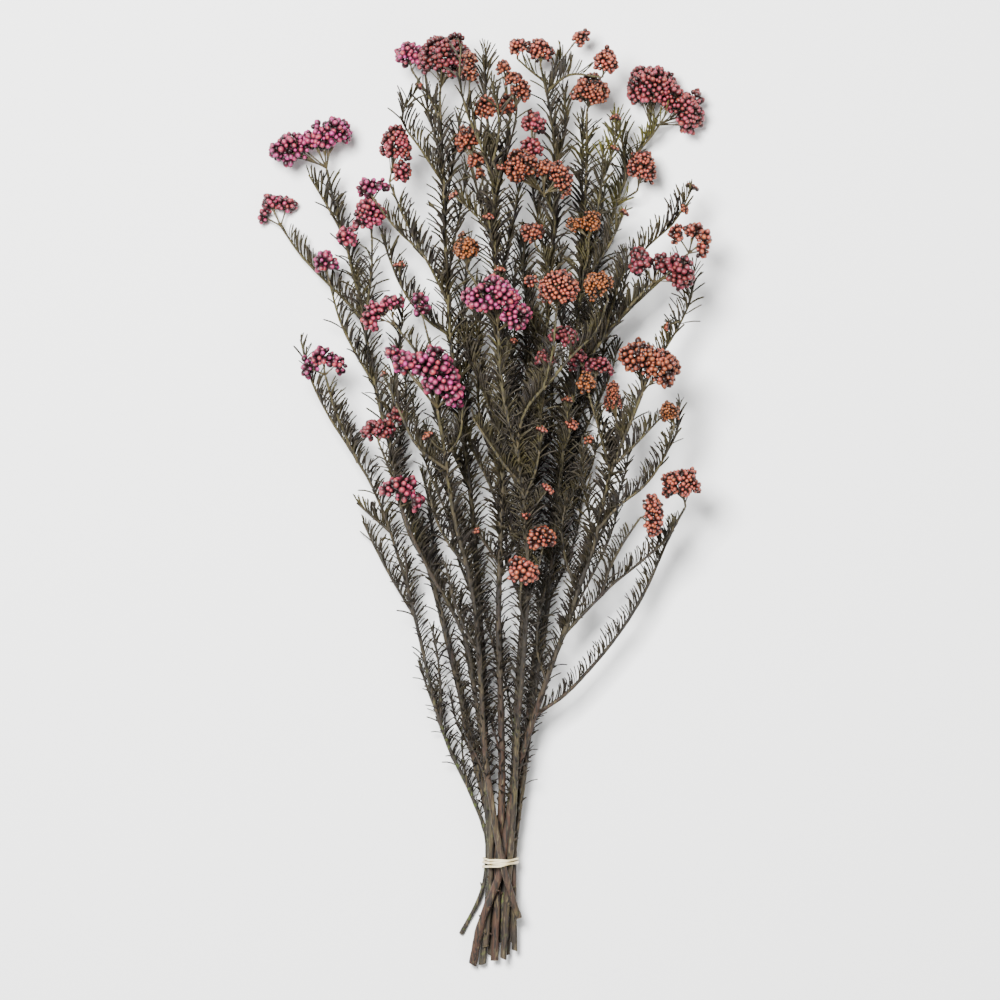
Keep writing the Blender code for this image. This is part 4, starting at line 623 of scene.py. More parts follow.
def filling_twigs(runs):
    """The twigs that only this model has: each leaves its stem at one height and curves up to its tip."""
    extra = []
    places = [(stem, *place) for stem, stem_places in FILLING_TWIGS.items() for place in stem_places]
    for stem, height, *tip in places:
        main = next(run for run in runs if run.stem == stem)
        number = min(int(np.argmin(np.abs(main.route[:, 1] - height))), len(main.route) - 2)
        start, way = main.route[number], unit(main.route[number + 1] - main.route[number])
        span = np.linalg.norm(np.array(tip) - start)
        first = start + way * span * FILLING_BENDS[0]
        last = np.array(tip) - np.array([0.05, 1.0, 0.1]) * span * FILLING_BENDS[1]
        t = np.linspace(0, 1, max(4, round(span / FILLING_STEP)))[:, None]
        points = (1 - t) ** 3 * start + 3 * (1 - t) ** 2 * t * first + 3 * (1 - t) * t**2 * last + t**3 * tip
        run = SimpleNamespace(stem=stem, bears=0, buds=0, has_head=False, joint=True, points=points)
        run.radii = np.linspace(*FILLING_RADII, len(points))
        smooth_route(run)
        extra.append(run)
    return extra


# Making


def start_afresh():
    if bpy.context.mode != "OBJECT":
        bpy.ops.object.mode_set(mode="OBJECT")
    bpy.ops.object.select_all(action="DESELECT")


def take(piece):
    """Makes this piece the only one selected."""
    start_afresh()
    piece.select_set(True)
    bpy.context.view_layer.objects.active = piece


def at_points(piece, operator, test=None, **how):
    """Runs an edit-mode operator on all points of a piece, or on those whose place passes the test."""
    take(piece)
    bpy.ops.object.mode_set(mode="EDIT")
    bpy.ops.mesh.select_mode(type="VERT")
    bpy.ops.mesh.select_all(action="DESELECT")
    bpy.ops.object.mode_set(mode="OBJECT")
    for point in piece.data.vertices:
        point.select = test is None or test(point.co)
    bpy.ops.object.mode_set(mode="EDIT")
    operator(**how)
    bpy.ops.object.mode_set(mode="OBJECT")


def cut_level(piece, height):
    at_points(piece, bpy.ops.mesh.bisect, plane_co=(0, 0, height), plane_no=(0, 0, 1))


def resize(piece, test, size, height):
    """Scales the points that pass the test, about the point on the Z axis at this height."""
    at_points(piece, bpy.ops.transform.resize, test, value=size, center_override=(0, 0, height))


def at_top(co):
    return co.z > 0.99


def upright_rod(sides):
    """A rod on the Z axis, one unit long, from the origin up."""
    start_afresh()
    bpy.ops.mesh.primitive_cylinder_add(vertices=sides, radius=1, depth=1, location=(0, 0, 0.5))
    rod = bpy.context.active_object
    bpy.ops.object.transform_apply()
    return rod


def pattern_of(piece):
    """The finished pattern's points and faces, for copying. The pattern itself is put away."""
    mesh = piece.data
    points = np.array([point.co for point in mesh.vertices])
    # Sorted, because Blender lists a new sphere's faces in another order each time
    faces = sorted(tuple(face.vertices) for face in mesh.polygons)
    bpy.data.objects.remove(piece)
    return points, faces


def leaf_pattern():
    """A needle leaf along Z, one unit long: a narrow strap with a ridge, as wide almost to its short tip."""
    shoulder = 0.93
    leaf = upright_rod(3)
    for height in (0.3, 0.62, shoulder):
        cut_level(leaf, height)
    for height, width in ((0, 0.6), (shoulder, 0.9)):
        resize(leaf, lambda co, h=height: abs(co.z - h) < 0.01, (width, width, 1), height)
    at_points(leaf, bpy.ops.mesh.merge, at_top, type="CENTER")
    at_points(leaf, bpy.ops.mesh.normals_make_consistent, inside=False)
    return pattern_of(leaf)


def bud_pattern():
    """A flower bud along Z, about one unit in radius: round, with a blunt point and a narrow foot."""
    start_afresh()
    bpy.ops.mesh.primitive_uv_sphere_add(segments=8, ring_count=6, radius=1)
    bud = bpy.context.active_object
    at_points(bud, bpy.ops.transform.translate, at_top, value=(0, 0, 0.16))
    resize(bud, lambda co: co.z < -0.7, (0.8, 0.8, 1.12), -0.5)
    return pattern_of(bud)


def small_bud_pattern():
    """A shut bud from deep inside a head, where little of it shows."""
    start_afresh()
    bpy.ops.mesh.primitive_ico_sphere_add(subdivisions=1, radius=1)
    bud = bpy.context.active_object
    at_points(bud, bpy.ops.transform.translate, at_top, value=(0, 0, 0.12))
    return pattern_of(bud)


def stalklet_pattern():
    """The thin stalk of one bud along Z, one unit long, wider at its foot."""
    stalk = upright_rod(4)
    cut_level(stalk, 0.5)
    resize(stalk, lambda co: co.z < 0.01, (1.5, 1.5, 1), 0)
    return pattern_of(stalk)


def piece_of(name, points, faces, marks, materials):
    """A mesh piece from points in millimetres, with its marks as attributes of its points."""
    mesh = bpy.data.meshes.new(name)
    mesh.from_pydata(points * MM, [], faces)
    for mark_name, values in marks.items():
        mesh.attributes.new(mark_name, "FLOAT", "POINT").data.foreach_set("value", values)
    for material in materials:
        mesh.materials.append(material)
    piece = bpy.data.objects.new(name, mesh)
    bpy.context.scene.collection.objects.link(piece)
    mesh.shade_smooth()
    return piece


def all_copies(pattern, placed):
    """Points and faces of many copies, from an array of placed points with one row for each copy."""
    points, faces = pattern
    rows = np.arange(len(placed))[:, None] * len(points)
    all_faces = []
    for face in faces:
        all_faces += (rows + np.array(face)).tolist()
    return placed.reshape(-1, 3), all_faces


def turned_copies(pattern, places, ways, sizes):
    """The pattern's points at each place, with Z turned to each way and scaled by each size."""
    helper = np.where(np.abs(ways[:, 2:]) < 0.9, [[0.0, 0.0, 1.0]], [[1.0, 0.0, 0.0]])
    across = unit(np.cross(helper, ways))
    beside = np.cross(ways, across)
    sizes = np.broadcast_to(sizes, (len(places), 3))
    local = pattern[0][None] * sizes[:, None]
    return (
        places[:, None]
        + local[..., :1] * across[:, None]
        + local[..., 1:2] * beside[:, None]
        + local[..., 2:] * ways[:, None]
    )


def finish_piece(piece, slot, *nodes):
    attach(piece, "root")
    if nodes:
        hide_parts(*nodes)


# Stems


def side_frames(route):
    """The direction at each point of a route, and a side that doesn't twist."""
    steps = unit(np.diff(route, axis=0))
    ways = unit(np.concatenate([steps[:1], steps[:-1] + steps[1:], steps[-1:]]))
    side = np.array(Vector(ways[0]).orthogonal().normalized())
    sides = []
    for way in ways:
        side = unit(side - way * (side @ way))
        sides.append(side)
    return ways, np.array(sides)


def snapped_twigs(main):
    """Short stubs on a cut stem's bare lower part, where side twigs were snapped off."""
    stubs = []
    ways, sides = side_frames(main.route)
    for number in range(2, len(main.route) - 2):
        place, way, side = main.route[number], ways[number], sides[number]
        near_tie = abs(place[1] - TIE_AT) < TIE_HALF_WIDTH
        if place[1] > STUBS_UP_TO or near_tie or draw.random() > STUB_SHARE:
            continue
        turn, length = draw.uniform(0, FULL_TURN), draw.uniform(1.2, 4.5)
        side = side * math.cos(turn) + np.cross(way, side) * math.sin(turn)
        tip = place + unit(side + way * draw.uniform(0.4, 1.4)) * (main.thick[number] + length)
        if tip[2] < 1:
            continue
        stub = SimpleNamespace(route=np.array([place, (place + tip) / 2 + way * 0.2, tip]), joint=True)
        stub.thick, stub.along = np.array([0.7, 0.55, 0.4]), np.array([0, 2, 4])
        stubs.append(stub)
    return stubs


def tapered_wood(name, runs):
    """Round wood along all the runs, swollen where a side twig starts and knotted here and there."""
    start_afresh()
    bpy.ops.curve.primitive_nurbs_path_add()
    bark = bpy.context.active_object
    bark.name = name
    bark.data.name = bark.name
    curve = bark.data
    curve.splines.clear()
    curve.bevel_depth = MM
    curve.bevel_resolution = 2
    curve.use_fill_caps = True
    for run in runs:
        spline = curve.splines.new("POLY")
        spline.points.add(len(run.route) - 1)
        for point, place, radius, far in zip(spline.points, run.route, run.thick, run.along):
            point.co = (*(place * MM), 1)
            swell = 1 + 0.45 * math.exp(-far / 3) if run.joint else 1
            knot = KNOT_SIZE if draw.random() < KNOT_SHARE else 1
            point.radius = radius * swell * knot * draw.uniform(0.9, 1.1)
    bpy.ops.object.convert(target="MESH")
    bark = bpy.context.active_object
    bark.data.materials.clear()
    bark.data.materials.append(BARK)
    bark.data.materials.append(CUT_WOOD)
    return bark


def bark_piece(stem, runs):
    """A stem and its side twigs as one bent and tapered wood shape, with a slanting cut at its end."""
    main = runs[0]
    bark = tapered_wood(stem.replace("stem", "bark"), runs + snapped_twigs(main))
    way = Vector(unit(main.route[1] - main.route[0]))
    lean = Vector((draw.uniform(-1, 1), 0, draw.uniform(-1, 1))) * CUT_SLANT
    plane = (way + lean).normalized()
    at = Vector(main.route[0] + np.array(way) * main.thick[0] * 0.75) * MM
    cut = {"plane_co": at, "plane_no": plane, "use_fill": True, "clear_inner": True}
    at_points(bark, bpy.ops.mesh.bisect, **cut)
    heights = np.array([point.co.y for point in bark.data.vertices]) / MM
    low = np.interp(heights, (-170, -90), (1, 0))
    hues = BARK_HUES[sorted(STEMS).index(stem) % len(BARK_HUES)]
    shares = {name: low * share for name, share in zip(("red", "green", "moss"), hues)}
    shares["fresh"] = np.interp(heights, (-60, 80), (0, 0.6))
    shares["shade"] = np.interp(heights, (-190, -75, 40), (0, 0.6, 0))
    for mark_name, values in shares.items():
        bark.data.attributes.new(mark_name, "FLOAT", "POINT").data.foreach_set("value", values)
    bpy.ops.object.shade_smooth_by_angle(angle=math.radians(45))
    for face in bark.data.polygons:
        if face.normal.dot(plane) < -0.98 and (face.center - at).length < 6 * MM:
            face.material_index = 1
    return bark


# Leaves


def leaf_marks(run):
    """Where each needle leaf of a shoot grows, its turn, its lean at foot and tip, its length and tone."""
    total = run.along[-1]
    at = 2.5 if run.joint else 0
    end = total - (7 if run.has_head else 0.3)
    turn = draw.uniform(0, FULL_TURN)
    shoot_tone = draw.uniform(0.1, 0.9)
    leaves = []
    leafy_from = LEAFY_FROM - draw.uniform(-6, 36)
    while at < end:
        y = np.interp(at, run.along, run.route[:, 1])
        to_tip = total - at
        if y < leafy_from:
            at += 3
            continue
        sparse = np.interp(y, *LEAF_GAPS)
        length = LEAF_LENGTH * draw.uniform(0.74, 1.2) * np.interp(y, *LEAF_SIZES)
        lean = draw.gauss(np.interp(y, *LEAF_LEANS), 8)
        curl = draw.gauss(np.interp(y, *LEAF_BENDS), 10)
        if run.has_head:
            near_head = min(1, to_tip / SMALLER_UNDER_HEAD)
            length *= 0.55 + 0.45 * near_head
            sparse *= 2.4 - 1.4 * near_head
        else:
            near_tip = min(1, to_tip / SMALLER_AT_TIP)
            length *= 0.45 + 0.55 * near_tip
            lean *= 0.45 + 0.55 * near_tip
            curl *= near_tip
        if draw.random() < STRAY_LEAVES:
            lean += draw.uniform(5, 25)
        leaves.append((at, turn, math.radians(lean), math.radians(lean + curl), length, shoot_tone))
        turn += GOLDEN_ANGLE + draw.uniform(-0.35, 0.35)
        at += LEAF_STEP * sparse * draw.uniform(0.6, 1.4)
    return leaves


def turned_up(out, way):
    """The side a leaf stands on. On a leaning shoot most turn to its upper side, towards the light."""
    upward = np.array([0.0, 1.0, 0.15]) - way * way[:, 1:2]
    pull = np.array([draw.choice(UPWARD_PULLS) for _ in out])[:, None]
    return unit(out + upward * pull)


def square_to(out, way):
    return out - way * (out * way).sum(1)[:, None]


def bent_leaves(run, leaves, shape):
    """The points of a shoot's leaves, each bent outward along its own arc, and their roots."""
    at, turn, lean, bent, length, _ = leaves
    ways, sides = side_frames(run.route)
    number = np.clip(np.searchsorted(run.along, at) - 1, 0, len(run.along) - 2)
    share = (at - run.along[number]) / (run.along[number + 1] - run.along[number])
    root = blend(run.route[number], run.route[number + 1], share)
    way, side = ways[number], sides[number]
    out = side * np.cos(turn)[:, None] + np.cross(way, side) * np.sin(turn)[:, None]
    out = unit(square_to(turned_up(square_to(out, way), way), way))
    root = root + out * (np.interp(at, run.along, run.thick) * 0.75)[:, None]
    across = np.cross(way, out)
    change = bent - lean
    change = np.where(np.abs(change) < LEAST_BEND, LEAST_BEND, change)
    s = shape[:, 2][None]
    now = lean[:, None] + change[:, None] * s
    forward = length[:, None] * (np.sin(now) - np.sin(lean)[:, None]) / change[:, None]
    outward = length[:, None] * (np.cos(lean)[:, None] - np.cos(now)) / change[:, None]
    thick = np.array([draw.uniform(0.8, 1.2) for _ in at]) * (0.4 + 0.6 * length / LEAF_LENGTH)
    thick = thick[:, None]
    sway = np.array([draw.gauss(0, 0.1) for _ in at])[:, None] * length[:, None] * s**2
    wide = shape[:, 0][None] * LEAF_HALF_WIDTH * thick
    deep = shape[:, 1][None] * LEAF_HALF_DEPTH * thick
    forward = forward - deep * np.sin(now)
    outward = outward + deep * np.cos(now)
    placed = (
        root[:, None]
        + way[:, None] * forward[..., None]
        + out[:, None] * outward[..., None]
        + across[:, None] * (wide + sway)[..., None]
    )
    return placed, root


def leaves_piece(stem, runs, lobes, pattern):
    """All the needle leaves of one stem, with each leaf's tone and youth and the place along its length."""
    shape = pattern[0]
    stack, tones, youth = [], [], []
    for run in runs:
        leaves = leaf_marks(run)
        if not leaves:
            continue
        leaves = np.array(leaves).T
        placed, root = bent_leaves(run, leaves, shape)
        keep = clear_leaves(placed, lobes)
        placed, root, at, tone = placed[keep], root[keep], leaves[0][keep], leaves[5][keep]
        near = np.min([np.hypot(root[:, 0] - x, root[:, 1] - y) for x, y in YOUNG], axis=0)
        fresh = np.exp(-((near / YOUNG_REACH) ** 2)) * 0.9
        end = np.clip((at - (run.along[-1] - FRESH_TIP)) / FRESH_TIP, 0, 1)
        fresh = np.maximum(fresh, end * (0.12 if not run.has_head else 0.3))
        tone = np.clip(tone + [draw.uniform(-0.3, 0.3) for _ in tone], 0, 1)
        stack.append(placed)
        tones.append(np.repeat(tone, len(shape)))
        youth.append(np.repeat(fresh, len(shape)))
    placed = np.concatenate(stack)
    points, faces = all_copies(pattern, placed)
    marks = {"tone": np.concatenate(tones), "youth": np.concatenate(youth)}
    marks["length"] = np.tile(shape[:, 2], len(placed))
    return piece_of(stem.replace("stem", "leaves"), points, faces, marks, [LEAF])


def clear_leaves(placed, lobes):
    """Which leaves stay above the table, inside the bunch's box and out of the heads. Few lie over a head."""
    low = np.array(cad_box[0]) / MM - LEAVES_PROUD
    high = np.array(cad_box[1]) / MM + LEAVES_PROUD
    keep = (placed[..., 2].min(1) > 0.2) & (placed > low).all((1, 2)) & (placed < high).all((1, 2))
    tip, middle = placed[:, -1], placed.mean(1)
    few = np.array([draw.random() < LEAVES_OVER_HEADS for _ in keep])
    for lobe in lobes:
        for spot in (tip, middle):
            away = (spot - lobe.centre) / lobe.half
            keep &= np.linalg.norm(away, axis=1) > 0.95
            over = (np.linalg.norm(away[:, :2], axis=1) < 1) & (away[:, 2] > 0)
            keep &= few | ~over
    return keep


# Flower heads


def bud_places(lobe, way, rest, pitch, shrink, underside):
    """Spots for buds all over the upper part of a lobe, and the way that each one faces."""
    half = lobe.half * shrink
    a, b, c = half
    power = 1.6
    area = 4 * math.pi * (((a * b) ** power + (a * c) ** power + (b * c) ** power) / 3) ** (1 / power)
    count = max(5, round(area / (pitch**2 * HONEYCOMB)))
    tilt = Vector(way).to_track_quat("Z", "Y").to_matrix()
    spots, faces = [], []
    phase = draw.uniform(0, FULL_TURN)
    for number in range(count):
        height = 1 - (2 * number + 1) / count
        if height < underside + draw.uniform(-0.12, 0.12):
            continue
        ring = math.sqrt(1 - height * height)
        turn = number * GOLDEN_ANGLE
        out = np.array(tilt @ Vector((ring * math.cos(turn), ring * math.sin(turn), height)))
        swell = 0.95 + 0.14 * math.sin(4.3 * out[0] + phase) * math.sin(3.9 * out[2] + 2 * phase)
        spot = lobe.centre + out * half * swell
        missing = draw.random() < MISSING_BUDS
        if missing or any(np.linalg.norm((spot - one.centre) / (one.half * shrink)) < 0.9 for one in rest):
            continue
        spots.append(spot)
        faces.append(unit(out / half))
    return np.array(spots).reshape(-1, 3), np.array(faces).reshape(-1, 3)


def above_table(spots, sizes):
    """Raises the buds that would sink into the table."""
    spots[:, 2] = np.maximum(spots[:, 2], sizes[:, 0] * 1.4 + 0.1)
    return spots


def drawn(count, low, high):
    """A column of random numbers."""
    return np.array([draw.uniform(low, high) for _ in range(count)])[:, None]


def jitter(count, reach):
    return np.array([[draw.uniform(-reach, reach) for _ in range(3)] for _ in range(count)])


def gathered(spots, lobe, size):
    """Draws the buds of a lobe together into small sprays, some lower than others, with gaps between them."""
    count = max(2, round(len(spots) / BUDS_A_SPRAY))
    middles = [spots[draw.randrange(len(spots))]]
    while len(middles) < count:
        far = np.min([np.linalg.norm(spots - middle, axis=1) for middle in middles], axis=0)
        middles.append(spots[(far * [draw.uniform(0.8, 1) for _ in far]).argmax()])
    middles = np.array(middles)
    away = np.linalg.norm(spots[:, None] - middles[None], axis=2)
    own = away.argmin(1)
    middle = middles[own]
    faces = unit((middles - lobe.centre) / lobe.half)
    near = away[np.arange(len(spots)), own] / size
    drop = (drawn(len(middles), -1.6, 0.8)[:, 0] * size)[own] - 0.07 * size * near**2
    return middle + (spots - middle) * 0.93 + faces[own] * drop[:, None], own, middles - faces * size * 2.2


def outer_buds(spots, ways, lobe, size, fork, branch, patterns):
    """The buds that show, in sprays, with the stalks that carry them from the head's main branches."""
    bud, _, stalklet = patterns
    spots, spray, feet = gathered(spots, lobe, size)
    count = len(spots)
    sizes = size * drawn(count, 0.66, 1.2)
    sunk = drawn(count, -0.7, 0.7)
    spots = above_table(spots + jitter(count, 0.55) + ways * sunk, sizes)
    ways = unit(ways + jitter(count, 0.3))
    plump = [(draw.uniform(0.9, 1.08), draw.uniform(0.9, 1.08), draw.uniform(0.95, 1.2)) for _ in spots]
    joints = blend(fork, branch, drawn(len(feet), 0.15, 1)[:, 0])
    return [
        (bud, turned_copies(bud, spots, ways, sizes * np.array(plump)), "bud"),
        (stalklet, stalks(stalklet, feet[spray], spots - ways * sizes * 0.7, STALKLET), "stalk"),
        (stalklet, stalks(stalklet, joints, feet, SPRAY_STALK), "stalk"),
    ]


def head_piece(head, colour, run, lobes, patterns):
    """A flower head: sprays of round buds on thin stalks, which fan out from the twig's tip."""
    _, small_bud, stalklet = patterns
    knot = run.route[-1]
    fork = knot + unit(knot - run.route[-4]) * STALK_START
    own = [lobe for lobe in lobes if lobe.head == head]
    groups, patch = [], draw.random()
    for lobe in own:
        rest = [other for other in own if other is not lobe]
        way = unit(lobe.centre - knot)
        branch = fork + (lobe.centre - fork) * BRANCH_REACH
        least = lobe.half.min()
        size = min(BUD_SIZES.get(head, BUD_SIZES[colour]), least * LARGEST_BUD)
        spots, ways = bud_places(lobe, way, rest, size * BUD_PITCH, 1 - size / least * 0.5, -0.6)
        if len(spots):
            groups += outer_buds(spots, ways, lobe, size, fork, branch, patterns)
        # A deeper layer of smaller buds fills the gaps. joined_head colours them as painted shade all over.
        deep = max(0.3, 1 - size / least * 1.9)
        inner, ways = bud_places(lobe, way, rest, size * INNER_PITCH, deep, -0.5)
        if len(inner):
            sizes = size * drawn(len(inner), 0.7, 0.95)
            inner = above_table(inner + jitter(len(inner), 0.6), sizes)
            groups.append((small_bud, turned_copies(small_bud, inner, ways, sizes), "inner"))
        groups.append((stalklet, stalks(stalklet, fork[None], branch[None], LOBE_STALK), "stalk"))
    foot = knot[None] - unit(fork - knot) * 0.6
    groups.append((stalklet, stalks(stalklet, foot, fork[None], HEAD_STALK), "stalk"))
    return joined_head(head.replace("head", "buds"), colour, groups, patch)


def stalks(pattern, starts, stops, radius):
    """Stalks of one radius from each start to each stop."""
    span = stops - starts
    length = np.linalg.norm(span, axis=1)
    sizes = np.stack([np.full(len(span), radius), np.full(len(span), radius), length], axis=1)
    return turned_copies(pattern, starts, span / length[:, None], sizes)


def joined_head(name, colour, groups, patch):
    """Buds, inner buds and stalks as one piece, with each bud's tone and each point's height on its bud.
    Inner buds get height 0, so they are painted shade all over.
    """
    points, faces, tones, heights, kinds = [], [], [], [], []
    first = 0
    for pattern, placed, kind in groups:
        some, some_faces = all_copies(pattern, placed)
        points.append(some)
        faces += [tuple(corner + first for corner in face) for face in some_faces]
        kinds += [1 if kind == "stalk" else 0] * len(some_faces)
        # Inner buds are painted shade: height and tone 0 give them the deep colour all over
        outer_not_shaded = 0.0 if kind == "inner" else 1.0
        for _ in placed:
            tone = min(1, max(0, draw.gauss(0.35 + 0.25 * patch, 0.34)))
            tones.append(np.full(len(pattern[0]), tone * outer_not_shaded))
        heights.append(np.tile((pattern[0][:, 2] + 1) / 2 * outer_not_shaded, len(placed)))
        first += len(some)
    marks = {"tone": np.concatenate(tones), "height": np.concatenate(heights)}
    piece = piece_of(name, np.concatenate(points), faces, marks, [BUDS[colour], STALK])
    piece.data.polygons.foreach_set("material_index", kinds)
    return piece


def loose_buds_piece(stem, runs, patterns):
    """The few small buds at the tips of a stem's bare twigs."""
    bud, _, stalklet = patterns
    groups = []
    for run in runs:
        if not run.buds:
            continue
        tip, way = run.route[-1], unit(run.route[-1] - run.route[-3])
        side = np.array(Vector(way).orthogonal().normalized())
        count = run.buds * 4 + 2
        for number in range(count):
            turn = number * GOLDEN_ANGLE
            reach = math.sqrt((number + 0.5) / count)
            across = side * math.cos(turn) + np.cross(way, side) * math.sin(turn)
            rise = 2.4 - 1.6 * reach + draw.uniform(-0.7, 0.7)
            spot = tip + across * reach * (1.4 + 0.85 * run.buds) + way * rise
            size = draw.uniform(0.95, 1.4)
            facing = unit(across * reach + way)[None]
            groups.append((bud, turned_copies(bud, spot[None], facing, np.array([[size] * 3])), "bud"))
            groups.append((stalklet, stalks(stalklet, tip[None] - way * 0.8, spot[None], STALKLET), "stalk"))
    if not groups:
        return None
    x = runs[0].route[-1][0]
    colour = "pink" if x < -40 else "coral" if x < 60 else "rust"
    return joined_head(stem.replace("stem", "loose_buds"), colour, groups, draw.random())


# Tie


def band_outline(runs, extra, turns):
    """Points, in X and Z, of a taut loop round all the stems where they cross the tie."""
    circles = []
    for run in runs:
        if run.joint:
            continue
        order, radii = run.route[:14], run.thick[:14]
        for y in np.linspace(-4, 4, 5) + TIE_AT:
            spot = [np.interp(y, order[:, 1], order[:, axis]) for axis in (0, 2)]
            circles.append((*spot, np.interp(y, order[:, 1], radii)))
    circles = np.array(circles)
    outs = np.stack([np.cos(turns), np.sin(turns)], axis=1)
    best = (outs @ circles[:, :2].T + circles[:, 2]).argmax(1)
    return circles[best, :2] + outs * (circles[best, 2:] + extra)


def tie_turn(runs, offset, slant, lift):
    """One turn of a flat elastic band: a loop drawn flat, widened along the stems, with rounded edges."""
    turns = np.linspace(0, 2 * math.pi, BAND_POINTS, endpoint=False)
    loop = band_outline(runs, SEAT_GAP + lift, turns)
    start_afresh()
    bpy.ops.curve.primitive_bezier_circle_add()
    band = bpy.context.active_object
    curve = band.data
    curve.splines.clear()
    curve.dimensions = "2D"
    curve.fill_mode = "NONE"
    curve.extrude = BAND_FLAT * MM
    curve.bevel_depth = BAND_EDGE * MM
    curve.bevel_resolution = 2
    line = curve.splines.new("POLY")
    line.points.add(len(loop) - 1)
    line.use_cyclic_u = True
    for point, (x, z) in zip(line.points, loop):
        point.co = (x * MM, z * MM, 0, 1)
    bpy.ops.object.convert(target="MESH")
    band = bpy.context.active_object
    bpy.ops.transform.rotate(value=-math.pi / 2, orient_axis="X", center_override=(0, 0, 0))
    bpy.ops.object.transform_apply()
    middle = loop.mean(0)
    if band.data.vertices[0].co.z < 0:
        for point in band.data.vertices:
            point.co.z = -point.co.z
    for point in band.data.vertices:
        x = point.co.x / MM - middle[0]
        wave = 0.25 * math.sin(x * 0.5 + offset)
        point.co.y += (TIE_AT + offset + slant * x + wave) * MM
    at_points(band, bpy.ops.mesh.remove_doubles, threshold=1e-6)
    at_points(band, bpy.ops.mesh.normals_make_consistent, inside=False)
    band.data.shade_smooth()
    return band


def tie_piece(runs):
    bands = [tie_turn(runs, *turn) for turn in TIE_TURNS]
    take(bands[0])
    for band in bands[1:]:
        band.select_set(True)
    bpy.ops.object.join()
    tie = bpy.context.active_object
    tie.name = "elastic_tie"
    tie.data.name = tie.name
    tie.data.materials.clear()
    tie.data.materials.append(RUBBER)
    return tie


# Finishes


def linear(code):
    """An sRGB hex colour as linear light."""
    parts = [int(code[place : place + 2], 16) / 255 for place in (1, 3, 5)]
    return (*[part / 12.92 if part <= 0.04045 else ((part + 0.055) / 1.055) ** 2.4 for part in parts], 1)


def add(tree, kind, sockets=None, **settings):
    """Adds a node, with its settings, and its sockets either linked or set."""
    made = tree.nodes.new("ShaderNode" + kind)
    for name, value in settings.items():
        setattr(made, name, value)
    for socket, source in (sockets or {}).items():
        if isinstance(source, bpy.types.NodeSocket):
            tree.links.new(source, made.inputs[socket])
        else:
            made.inputs[socket].default_value = source
    return made


def laid(tree, share, first, code):
    """A colour over the first one, where the share is high."""
    return add(tree, "Mix", {0: share, 6: first, 7: linear(code)}, data_type="RGBA").outputs[2]


def spread(tree, source, low, high):
    """Stretches a grey pattern so that low gives 0 and high gives 1."""
    return add(tree, "MapRange", {"Value": source, "From Min": low, "From Max": high}).outputs[0]


def noise(tree, size, stretch=(1, 1, 1)):
    """Noise whose blotches are this many millimetres across, longer along an axis where stretched."""
    where = add(tree, "TexCoord").outputs["Object"]
    turned = add(tree, "Mapping", {"Vector": where, "Scale": tuple(1 / part for part in stretch)})
    scale = {"Vector": turned.outputs[0], "Scale": 1 / (size * MM), "Detail": 3.0}
    return add(tree, "TexNoise", scale).outputs["Fac"]


def patches(tree, size, low, high, stretch=(1, 1, 1)):
    """Patches of about this size, in millimetres. The nearer low and high are, the sharper their edges."""
    return spread(tree, noise(tree, size, stretch), low, high)


def mark(tree, name):
    return add(tree, "Attribute", attribute_name=name).outputs["Fac"]


def finish(name, roughness, ior=1.45, **more):
    made = bpy.data.materials.new(name)
    made.use_nodes = True
    shader = made.node_tree.nodes["Principled BSDF"]
    shader.inputs["Roughness"].default_value = roughness
    shader.inputs["IOR"].default_value = ior
    for socket, value in more.items():
        shader.inputs[socket.replace("_", " ")].default_value = value
    return made, made.node_tree


def coloured(made, colour, grain=None, depth=0):
    """Gives a finish its colour, and raises its grain by this depth in millimetres."""
    tree = made.node_tree
    shader = tree.nodes["Principled BSDF"]
    tree.links.new(colour, shader.inputs["Base Color"])
    if grain:
        bump = add(tree, "Bump", {"Height": grain, "Distance": depth * MM, "Strength": 0.8})
        tree.links.new(bump.outputs[0], shader.inputs["Normal"])
    return made


def bark_finish():
    """Dry, woody bark: grey-brown, streaked along the stem, with olive and reddish patches, split fine."""
    made, tree = finish("dried_bark", 0.82)
    colour = laid(tree, patches(tree, 9, 0.35, 0.65, (1, 3, 1)), linear("#29231a"), "#3a3123")
    colour = laid(tree, patches(tree, 24, 0.52, 0.68), colour, "#36251c")
    colour = laid(tree, patches(tree, 17, 0.52, 0.66, (1, 2, 1)), colour, "#443d22")
    for name, code in (("fresh", "#484320"), ("red", "#3f261b"), ("green", "#262621")):
        colour = laid(tree, mark(tree, name), colour, code)
    colour = laid(tree, patches(tree, 1.2, 0.45, 0.6, (1, 11, 1)), colour, "#17130f")
    colour = laid(tree, patches(tree, 1.5, 0.57, 0.7, (1, 7, 1)), colour, "#574c35")
    colour = laid(tree, mark(tree, "shade"), colour, "#1b1713")
    moss = {0: patches(tree, 3, 0.54, 0.72), 1: mark(tree, "moss")}
    colour = laid(tree, add(tree, "Math", moss, operation="MULTIPLY").outputs[0], colour, "#46501f")
    return coloured(made, colour, noise(tree, 1.2, (1, 5, 1)), 0.9)


